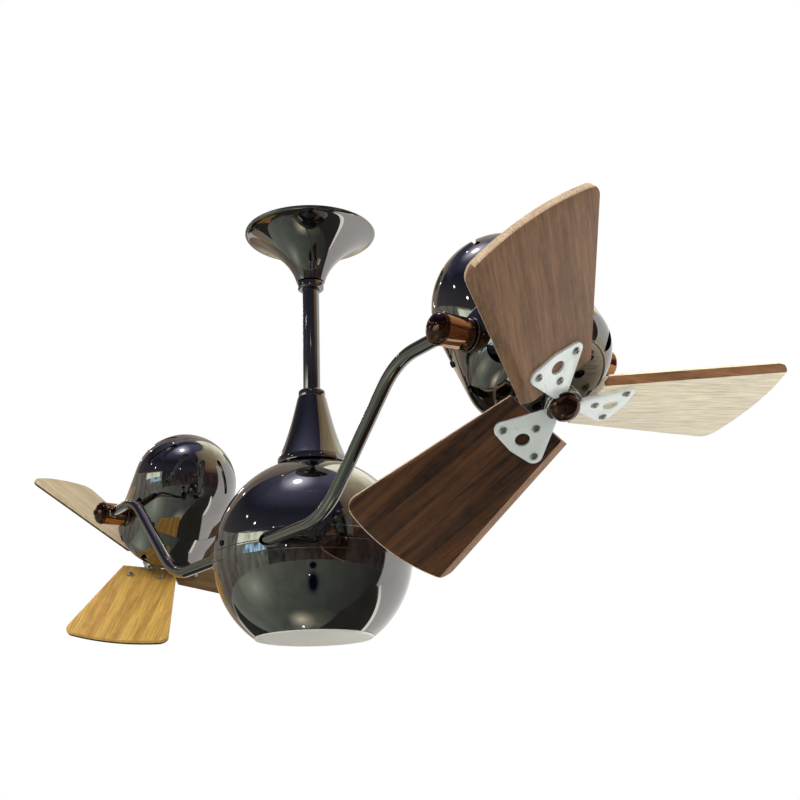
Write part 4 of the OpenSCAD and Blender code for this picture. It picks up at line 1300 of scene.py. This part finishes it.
@dataclass
class BladeSet(Assembly):
    """The blades of one head with their plates, screws, hub and cap."""

    side: Side
    faces: tuple[Finish, ...]
    edges: tuple[Finish, ...]
    # Rim woods: painted highlight on the right head, painted shade on the left.
    painted_rims: tuple[Finish, ...]
    sweep_r: float = 204.0
    thick: float = 6.4
    root_half: float = 36.0
    tip_half: float = 62.0
    root_x: float = 25.5
    shoulder_x: float = 183.0
    corner_r: float = 13.0
    pitch: float = 18.0
    plane: float = 72.0
    plate_t: float = 2.5
    plate: tuple[Point, ...] = ((20.0, -2.5), (50.4, -19.6), (52.9, 0.0), (50.4, 19.6), (20.0, 2.5))
    plate_edge: float = 0.35
    plate_grow: float = 7.5
    plate_hole: tuple[float, float] = (46.0, 6.4)
    board_edge: float = 1.3
    bevel: tuple[float, float] = (8.6, 4.3)
    crease: float = 25.0
    bore_r: float = 5.1
    hub_r: float = 16.0
    hub_z: float = 59.0
    hub_h: float = 14.0
    cap_r: float = 13.3
    screws: tuple[Point, ...] = ((30.7, 0.0), (50.4, 19.6), (50.4, -19.6))

    def __post_init__(self) -> None:
        """Works out the names, the frame and the slope of the long edges of the blade set."""
        self.word = self.side.word + "_"
        self.body = self.word + "rotor"
        self.place = self.side.place() @ turn("Z", self.side.spin)
        self.slope = math.atan2(self.tip_half - self.root_half, self.shoulder_x - self.root_x)

    def blade_place(self, k: int) -> Matrix:
        """Returns the frame of blade k: X outwards, Z through its face."""
        return self.place @ turn("Z", 120 * k) @ shift(0, 0, self.plane) @ turn("X", self.pitch)

    def blade_outline(self) -> list[Point]:
        """Returns the outline of a blade, anticlockwise."""
        along = (math.cos(self.slope), math.sin(self.slope))
        start = (self.root_x + self.corner_r * along[1], self.root_half - self.corner_r * along[0])
        b = start[0] * along[0] + start[1] * along[1]
        reach = self.sweep_r - self.corner_r
        run = math.sqrt(b * b - start[0] ** 2 - start[1] ** 2 + reach**2) - b
        x, y = start[0] + run * along[0], start[1] + run * along[1]
        tip, bent = math.degrees(math.atan2(y, x)), 90 + math.degrees(self.slope)
        outline = [(self.root_x, -self.root_half)] + arc((x, -y), self.corner_r, -bent, -tip, 12)
        outline += arc((0, 0), self.sweep_r, -tip, tip, 28)[1:-1]
        return outline + arc((x, y), self.corner_r, tip, bent, 12) + [(self.root_x, self.root_half)]

    def ease(self, work: Work) -> None:
        """Planes a broad bevel along the leading edge of a board.

        Args:
            work: Mesh of the board, whose bevel gets the material of its edge.
        """
        wide, deep = self.bevel
        out = Vector((-math.sin(self.slope), math.cos(self.slope), 0))
        start = out.dot(Vector((self.root_x, self.root_half, 0))) - wide
        parts = work.verts[:] + work.edges[:] + work.faces[:]
        bmesh.ops.bisect_plane(work, geom=parts, plane_co=out * start * MM, plane_no=out)
        for vert in work.verts:
            over = vert.co.dot(out) / MM - start
            if over > 0.01:
                vert.co.z = min(vert.co.z, (-self.plate_t - over * deep / wide) * MM)
        bmesh.ops.remove_doubles(work, verts=work.verts[:], dist=1e-5)
        for face in work.faces:
            spot = face.calc_center_median() / MM
            if spot.dot(out) > start + 0.1 and spot.z > -self.plate_t - deep:
                face.material_index = 1

    def blades(self) -> None:
        """Shapes the three wooden blades; of their sides, some have the wood of the edge, and the rims carry a painted
        highlight on the right head and a painted shade on the left.
        """
        back = -self.plate_t - self.thick
        for k, woods in enumerate(zip(self.faces, self.edges, self.painted_rims)):
            work = bmesh.new()
            for face in slab(work, self.blade_outline(), back, -self.plate_t, self.board_edge):
                spot = face.calc_center_median() / MM
                tip = math.hypot(spot.x, spot.y) > self.sweep_r - 2
                # Rims: painted highlight along the back arris and the tip on the right head, painted shade along the
                # front arris on the left.
                if (spot.z < back + 2.5 or tip) if self.side is Side.RIGHT else spot.z > -self.plate_t - 2.5:
                    face.material_index = 2
                elif spot.y > 0 and spot.x > self.root_x + 1 and not tip:
                    face.material_index = 1
            self.ease(work)
            board = finished(work, self.crease)
            self.put(f"blade_board_{k + 1}", board, f"blade_{k + 1}", *woods, place=self.blade_place(k))

    def plates(self) -> None:
        """Stamps the three blade plates, each with its round hole."""
        work = bmesh.new()
        hole = arc((self.plate_hole[0], 0.0), self.plate_hole[1], 0, 360, 36)[:-1]
        outline = rounded(self.plate, self.plate_grow)
        for k in range(3):
            place = self.place.inverted() @ self.blade_place(k)
            slab(work, outline, -self.plate_t, 0.0, self.plate_edge, hole, place)
        self.put("plate_set", work, "blade_plates", SATIN_STEEL)

    def fasteners(self) -> None:
        """Makes the cross-recess screws in front and the cap nuts behind."""
        work = bmesh.new()
        for k in range(3):
            base = self.place.inverted() @ self.blade_place(k)
            for n, (x, y) in enumerate(self.screws):
                pan_screw(work, base @ shift(x, y, 0), 3.6, 1.8, 17 + 37 * n + 11 * k)
                cap_nut(work, base @ shift(x, y, -self.plate_t - self.thick) @ turn("X", 180), 4.0, 4.6)
        self.put("blade_fasteners", work, "blade_screws", ZINC_STEEL)

    def hub(self) -> None:
        """Turns the hub with its bright ring and the dark cap."""
        bore, r, z, top = self.bore_r, self.hub_r, self.hub_z, self.hub_z + self.hub_h
        ring = [(bore, z), (r - 4, z), (r - 4, z + 3), (r, z + 3), (r, top - 3.4), (r - 0.7, top - 3.0),
                (r, top - 2.6), (r, top), (bore, top)]
        self.put("hub_ring", turned(eased(ring, 0.5, 4), 96), "blade_hub", BRIGHT_NICKEL)
        dome = arc((0, top), self.cap_r, 3, 90, 28)
        dome = [(0, top + 0.05), (self.cap_r - 0.3, top + 0.05)] + dome[:-1] + [(0.0, dome[-1][1])]
        self.put("hub_dome", turned(dome, 96), "hub_cap", BRONZE_NICKEL)

    def build(self) -> None:
        """Makes every piece of the blade set."""
        self.blades()
        self.plates()
        self.fasteners()
        self.hub()
        self.dress(shaft=BEARING_STEEL, rotor=IRON_STACK)


# ------------------------------------------------------------------ studio

BALL = Vector((0, 0, BALL_Z * MM))
BLACK = (0.0, 0.0, 0.0, 1.0)
GLOWING = {"Emission Strength": 1.0, "Base Color": BLACK, "Specular IOR Level": 0.0}
NIGHT: Tones = ((30, 30, 37), (32, 33, 42), (28, 28, 36))


@dataclass(frozen=True)
class Card:
    """A curved studio card, whose tones, 0 to 255, are written as the black nickel shows them.

    The tones stand at the left, in the middle and at the right of the lower and of the upper edge. The headings
    and elevations are in degrees, and the distance is in metres.
    """

    name: str
    low: Tones
    high: Tones
    headings: Point
    elevations: Point
    distance: float = 4.0
    shade: Colour = (30, 30, 32)
    depth: float = 0.4
    scale: float = 0.8


CARDS = (
    Card("bottom", ((115, 112, 100), (85, 84, 72), (92, 90, 84)), ((82, 80, 75), (54, 56, 51), (50, 50, 48)),
         (-180, 180), (-90, -70), depth=0.2),
    Card("lower_wall", ((68, 70, 66), (62, 66, 60), (44, 44, 42)), ((106, 109, 99), (74, 76, 69), (36, 36, 36)),
         (-180, 58), (-70, -14), depth=0.3),
    Card("counter_left", ((88, 80, 74), (80, 76, 68), (84, 88, 80)), ((80, 76, 70), (106, 104, 98), (125, 130, 118)),
         (-180, -82), (-14, 20), 4.0, (46, 42, 38), 0.7, 2.6),
    Card("counter_right", ((62, 60, 55), (54, 45, 40), (50, 46, 44)), ((36, 37, 41), (42, 38, 40), (62, 44, 40)),
         (-82, 58), (-14, 20), 4.0, (20, 20, 22), 0.75, 2.4),
    Card("far_wall", ((56, 54, 54), (44, 43, 50), (46, 42, 48)), NIGHT, (-166, 10), (20, 42), depth=0.3),
    Card("night", NIGHT, ((62, 61, 74), (76, 75, 92), (44, 42, 54)), (-166, 14), (42, 68), depth=0.2),
    Card("zenith", ((98, 94, 104), (46, 44, 62), (98, 94, 104)), ((100, 98, 120), (82, 79, 97), (70, 68, 84)),
         (-180, 180), (68, 90), depth=0.2),
    Card("warm_low", ((62, 45, 41), (64, 50, 44), (80, 66, 56)), ((82, 62, 46), (104, 84, 62), (124, 104, 80)),
         (10, 58), (20, 34)),
    Card("warm_wall", ((80, 62, 46), (128, 116, 92), (200, 195, 180)), ((96, 84, 76), (128, 122, 100), (215, 212, 188)),
         (12, 135), (34, 68), 3.96, (70, 50, 34), 0.35, 1.2),
    Card("far_back", ((150, 140, 120), (104, 92, 78), (90, 80, 74)), ((105, 98, 92), (95, 88, 84), (84, 76, 72)),
         (135, 194), (-12, 68), 4.0, (60, 50, 42), 0.6, 1.6),
)
WINDOWS = (
    Card("window_a", *[((150, 185, 205),) * 3] * 2, (-113, -84), (2, 9), 3.86, (60, 64, 66), 1.0, 5.0),
    Card("window_b", *[((200, 203, 180),) * 3] * 2, (-124, -87), (10, 19), 3.86, (120, 120, 110), 0.8, 3.0),
)


def seen(tone: Colour) -> Colour:
    """Returns the colour that shows as a tone, 0 to 255, in the black nickel."""
    return tuple((level / 255) ** 2.2 / tint for level, tint in zip(tone, NICKEL_TINT))


def direction(heading: float, elevation: float) -> Vector:
    """Returns the direction of a heading and an elevation in degrees."""
    a, e = math.radians(heading), math.radians(elevation)
    return Vector((math.cos(a) * math.cos(e), math.sin(a) * math.cos(e), math.sin(e)))


@dataclass
class Studio:
    """Floor, soft light, the dark wall and ceiling that the mirror finishes show, and the camera."""

    camera_at: tuple[float, float, float] = (1136.4, -664.5, -256.4)
    heading: float = 55.426
    pitch: float = 18.091
    roll: float = -1.906
    lens: float = 56.03
    clip: tuple[float, float] = (0.05, 50.0)
    floor_z: float = -0.95
    floor_size: float = 7.0
    sheet_z: float = -0.82
    soft_light: float = 0.81
    glow_away: float = 3.6
    bulb_away: float = 3.4
    bulb_colour: Colour = (1.0, 0.96, 0.9)
    columns: int = 24
    rows: int = 12
    lamp_spot: tuple[float, float, float] = (0.0, -0.30, 0.90)
    sparkles: tuple[tuple[float, float, float, float], ...] = (
        (-39.8, 24.8, 0.8, 0.04), (-104.3, 27.7, 1.6, 0.05), (0.0, 36.5, 1.2, 0.045), (-3.9, 11.3, 0.6, 0.03),
        (-60.0, 3.0, 0.5, 0.03), (-35.6, -30.5, 0.3, 0.03), (170.1, 27.0, 3.0, 0.07), (-161.9, 65.7, 1.0, 0.045),
        (-168.4, 37.7, 1.0, 0.045), (179.8, 24.8, 0.8, 0.04), (-122.3, 32.8, 0.9, 0.045), (100.0, -66.0, 1.4, 0.05),
        (-150.0, -80.0, 1.2, 0.05))

    def stand(self, name: str, work: Work, material: bpy.types.Material, everywhere: bool = False) -> bpy.types.Object:
        """Puts a backdrop in the studio.

        Args:
            name: Its name.
            work: Its mesh in the making.
            material: Its material.
            everywhere: Whether more than the mirror finishes sees it.

        Returns:
            The backdrop.
        """
        mesh = bpy.data.meshes.new(name)
        work.to_mesh(mesh)
        work.free()
        mesh.materials.append(material)
        obj = bpy.data.objects.new(name, mesh)
        bpy.context.scene.collection.objects.link(obj)
        obj.visible_camera = obj.visible_diffuse = obj.visible_shadow = obj.visible_transmission = everywhere
        return obj

    def aim(self, obj: bpy.types.Object, place: Vector, way: Vector) -> None:
        """Puts a thing at its place and turns its -Z along a direction."""
        obj.location, obj.rotation_mode = place, "QUATERNION"
        obj.rotation_quaternion = way.to_track_quat("-Z", "Y")

    def room(self, name: str, tones: Sequence[Colour], shade: Colour, depth: float, scale: float) -> bpy.types.Material:
        """Makes a material that glows with the tones of the room.

        Args:
            name: Its name.
            tones: Colours of its corners and middles, the lower edge first.
            shade: Colour of its soft shapes.
            depth: Strength of the shapes.
            scale: Scale of the shapes.

        Returns:
            The material.
        """
        made, net = blank(name)
        values = dict(zip(CORNERS, tones)) | {"Shade": shade, "Depth": depth, "Scale": scale}
        net.shade(GLOWING | {"Emission Color": TONE.use(net, values)["Colour"]})
        return made

    def floor(self) -> None:
        """Lays the pale floor far below the fan; the mirror finishes see the room in its place."""
        made, net = blank("Pale floor")
        spots = net.fit(net.noise(net.stretched(), 1.6, 4.0, 0.6, 0.8), 0.0, 1.0, 0.35, 0.7)
        colour = net.blend(spots, (0.66, 0.66, 0.65, 1.0), (0.61, 0.61, 0.60, 1.0))
        net.shade({"Base Color": colour, "Roughness": 0.8, "Specular IOR Level": 0.0})
        work = bmesh.new()
        bmesh.ops.create_grid(work, x_segments=8, y_segments=8, size=self.floor_size)
        bmesh.ops.translate(work, vec=(0, 0, self.floor_z), verts=work.verts)
        self.stand("floor", work, made, True).visible_glossy = False

    def card(self, card: Card) -> None:
        """Hangs a curved card that only the mirror finishes see."""
        work = bmesh.new()
        (left, right), (low, high) = card.headings, card.elevations
        wide, tall = self.columns, self.rows
        rows = [[work.verts.new(direction(left + (right - left) * i / wide, low + (high - low) * k / tall)
                                * card.distance + BALL) for k in range(tall + 1)] for i in range(wide + 1)]
        spread = work.loops.layers.uv.new("UVMap")
        for i in range(wide):
            for k in range(tall):
                corners = ((i, k), (i + 1, k), (i + 1, k + 1), (i, k + 1))
                face = work.faces.new([rows[u][v] for u, v in corners])
                for loop, (u, v) in zip(face.loops, corners):
                    loop[spread].uv = (u / wide, v / tall)
        tones = [seen(tone) for tone in (*card.low, *card.high)]
        self.stand(card.name, work, self.room("Card " + card.name, tones, seen(card.shade), card.depth, card.scale))

    def sheet(self, name: str, tone: Colour, corners: Sequence[Point]) -> None:
        """Lays a flat sheet under the fan that only the mirror finishes see.

        Args:
            name: Its name.
            tone: Its tone, 0 to 255, as the black nickel shows it.
            corners: Its corners in plan in metres.
        """
        colour = seen(tone)
        work = bmesh.new()
        work.faces.new([work.verts.new((x, y, self.sheet_z)) for x, y in corners])
        shade = tuple(v * 0.6 for v in colour)
        self.stand(name, work, self.room("Sheet " + name, [colour] * len(CORNERS), shade, 0.6, 2.0))

    def glow(self, name: str, tone: Colour, place: Vector, size: float, core: float = 0.0, tall: float = 1.0) -> None:
        """Hangs a soft round glow in front of the cards, or a dark shape where its tone is dark.

        Args:
            name: Name of the glow.
            tone: Its tone in the middle, 0 to 255, as the black nickel shows it.
            place: Its place in metres.
            size: Its radius in metres.
            core: Share of the radius that has the full tone.
            tall: Height divided by width.
        """
        made, net = blank("Glow " + name)
        mask = GLOW.use(net, {"Size": size, "Core": core})["Mask"]
        net.shade(GLOWING | {"Emission Color": (*seen(tone), 1.0), "Alpha": mask})
        work = bmesh.new()
        bmesh.ops.create_circle(work, cap_ends=True, segments=40, radius=size)
        obj = self.stand(name, work, made)
        obj.scale = (1.0, tall, 1.0)
        self.aim(obj, place, place - BALL)

    def flag(self) -> None:
        """Hangs the black flag that keeps the main lamp out of the left head."""
        made, net = blank("Flag")
        net.shade(GLOWING | {"Emission Color": (*seen((36, 36, 48)), 1.0), "Specular IOR Level": 0.5})
        up = (Vector(self.lamp_spot) + Vector((-0.46, 0, 0)) - BALL).normalized()
        wide = up.cross(Vector((1, 0, 0))).normalized()
        work = bmesh.new()
        corners = ((0.8, -0.5), (1.8, -0.5), (1.8, 0.5), (0.8, 0.5))
        work.faces.new([work.verts.new(BALL + up * a + wide * b) for a, b in corners])
        self.stand("flag", work, made)

    def light(self, name: str, kind: str, place: Vector, **values: object) -> bpy.types.Object:
        """Hangs a lamp.

        Args:
            name: Its name.
            kind: AREA or POINT.
            place: Its place in metres.
            values: Its power in watts, size and colour, by their Blender names.

        Returns:
            The lamp.
        """
        data = bpy.data.lights.new(name, kind)
        for key, value in values.items():
            setattr(data, key, value)
        obj = bpy.data.objects.new(name, data)
        obj.location = place
        bpy.context.scene.collection.objects.link(obj)
        return obj

    def lights(self) -> None:
        """Hangs two soft square lamps that don't show in the metal, the main lamp and the sparkling bulbs."""
        for name, spot, power, size in (("key", (0.9, -2.2, 1.5), 48.0, 1.2), ("fill", (2.6, 0.6, 0.2), 14.0, 1.4)):
            obj = self.light(name, "AREA", Vector(spot), energy=power, size=size)
            self.aim(obj, obj.location, BALL - Vector(spot))
            obj.visible_glossy = False
        bulbs = [("main_lamp", Vector(self.lamp_spot), 3.6, 0.07)]
        bulbs += [(f"bulb_{k + 1}", direction(heading, elevation) * self.bulb_away + BALL, power, radius)
                  for k, (heading, elevation, power, radius) in enumerate(self.sparkles)]
        for name, place, power, radius in bulbs:
            obj = self.light(name, "POINT", place, energy=power, shadow_soft_size=radius, color=self.bulb_colour)
            obj.visible_camera = False

    def world(self) -> None:
        """Makes a white background that also shows in the metal, with an even soft light."""
        world = bpy.data.worlds.new("Soft white")
        world.use_nodes = True
        bpy.context.scene.world = world
        net = Net(world.node_tree)
        rays = [net.add("LightPath").outputs[f"Is {kind} Ray"] for kind in ("Camera", "Glossy", "Transmission")]
        white = net.math("MAXIMUM", net.math("MAXIMUM", *rays[:2]), rays[2])
        net.shade({"Strength": net.fit(white, self.soft_light, 1.0), "Color": (1.0, 1.0, 1.0, 1.0)}, "Background")

    def camera(self) -> None:
        """Sets the camera at the portrait's place, low and looking up."""
        forward, roll = direction(self.heading + 90, self.pitch), math.radians(self.roll)
        right = direction(self.heading, 0)
        up = right.cross(forward)
        right, up = right * math.cos(roll) + up * math.sin(roll), up * math.cos(roll) - right * math.sin(roll)
        data = bpy.data.cameras.new("portrait")
        data.lens, data.sensor_width, data.sensor_fit = self.lens, 36.0, "HORIZONTAL"
        data.clip_start, data.clip_end = self.clip
        obj = bpy.data.objects.new("portrait", data)
        seat = Matrix.Translation(Vector(self.camera_at) * MM + BALL)
        obj.matrix_world = seat @ Matrix((right, up, -forward)).transposed().to_4x4()
        bpy.context.scene.collection.objects.link(obj)
        bpy.context.scene.camera = obj

    def build(self) -> None:
        """Makes the whole studio."""
        self.floor()
        for card in CARDS:
            self.card(card)
        self.sheet("table", (40, 39, 36), ((0.22, 0.10), (0.66, 0.66), (0.45, 0.765), (-0.2, 0.353), (-1.2, 0.75),
                                           (-1.4, -0.5), (-0.18, -0.065)))
        self.sheet("bright_edge", (200, 196, 187), ((0.45, 0.765), (-0.2, 0.353), (-0.22, 0.43), (0.50, 0.90)))
        for card in WINDOWS:
            self.card(card)
        self.glow("lamp_halo", (225, 219, 238), Vector(self.lamp_spot), 0.40)
        dark = (14, 14, 24)
        for name, tone, heading, elevation, *sizes in (
                ("floor_halo", (180, 170, 146), -98.0, -78.0, 1.0), ("wall_halo", (124, 128, 114), -112.0, -28.0, 2.0),
                ("figure_top", dark, -31.0, -20.0, 0.38, 0.5), ("figure_foot", dark, -31.0, -39.0, 0.58, 0.4, 2.2)):
            self.glow(name, tone, direction(heading, elevation) * self.glow_away + BALL, *sizes)
        self.flag()
        self.lights()
        self.world()
        self.camera()


def main() -> None:
    """Builds the fan piece by piece, then the studio."""
    logging.basicConfig(level=logging.INFO, format="%(message)s")
    bpy.context.scene.view_settings.view_transform = "Standard"
    Hanger().build()
    Turret().build()
    # Each head's blades share one walnut: the pale right blade and the grey left blade carry painted sheen, and the
    # rims carry painted highlight on the right and painted shade on the left.
    sets = {
        Side.RIGHT: ((UPPER_WOOD, STRIPED_WOOD, SHEEN_WOOD), (TAN_EDGE, FAWN_EDGE, RED_EDGE),
                     (RIM_HIGHLIGHT, RIM_HIGHLIGHT, SHEEN_WOOD)),
        Side.LEFT: ((GOLD_WOOD, SHEEN_GOLD_WOOD, BROWN_WOOD), (GOLD_WOOD, BROWN_WOOD, BROWN_WOOD),
                    (RIM_SHADE, RIM_SHADE, RIM_SHADE)),
    }
    for side in Side:
        Head(side).build()
        BladeSet(side, *sets[side]).build()
    Studio().build()


if __name__ == "__main__":
    main()
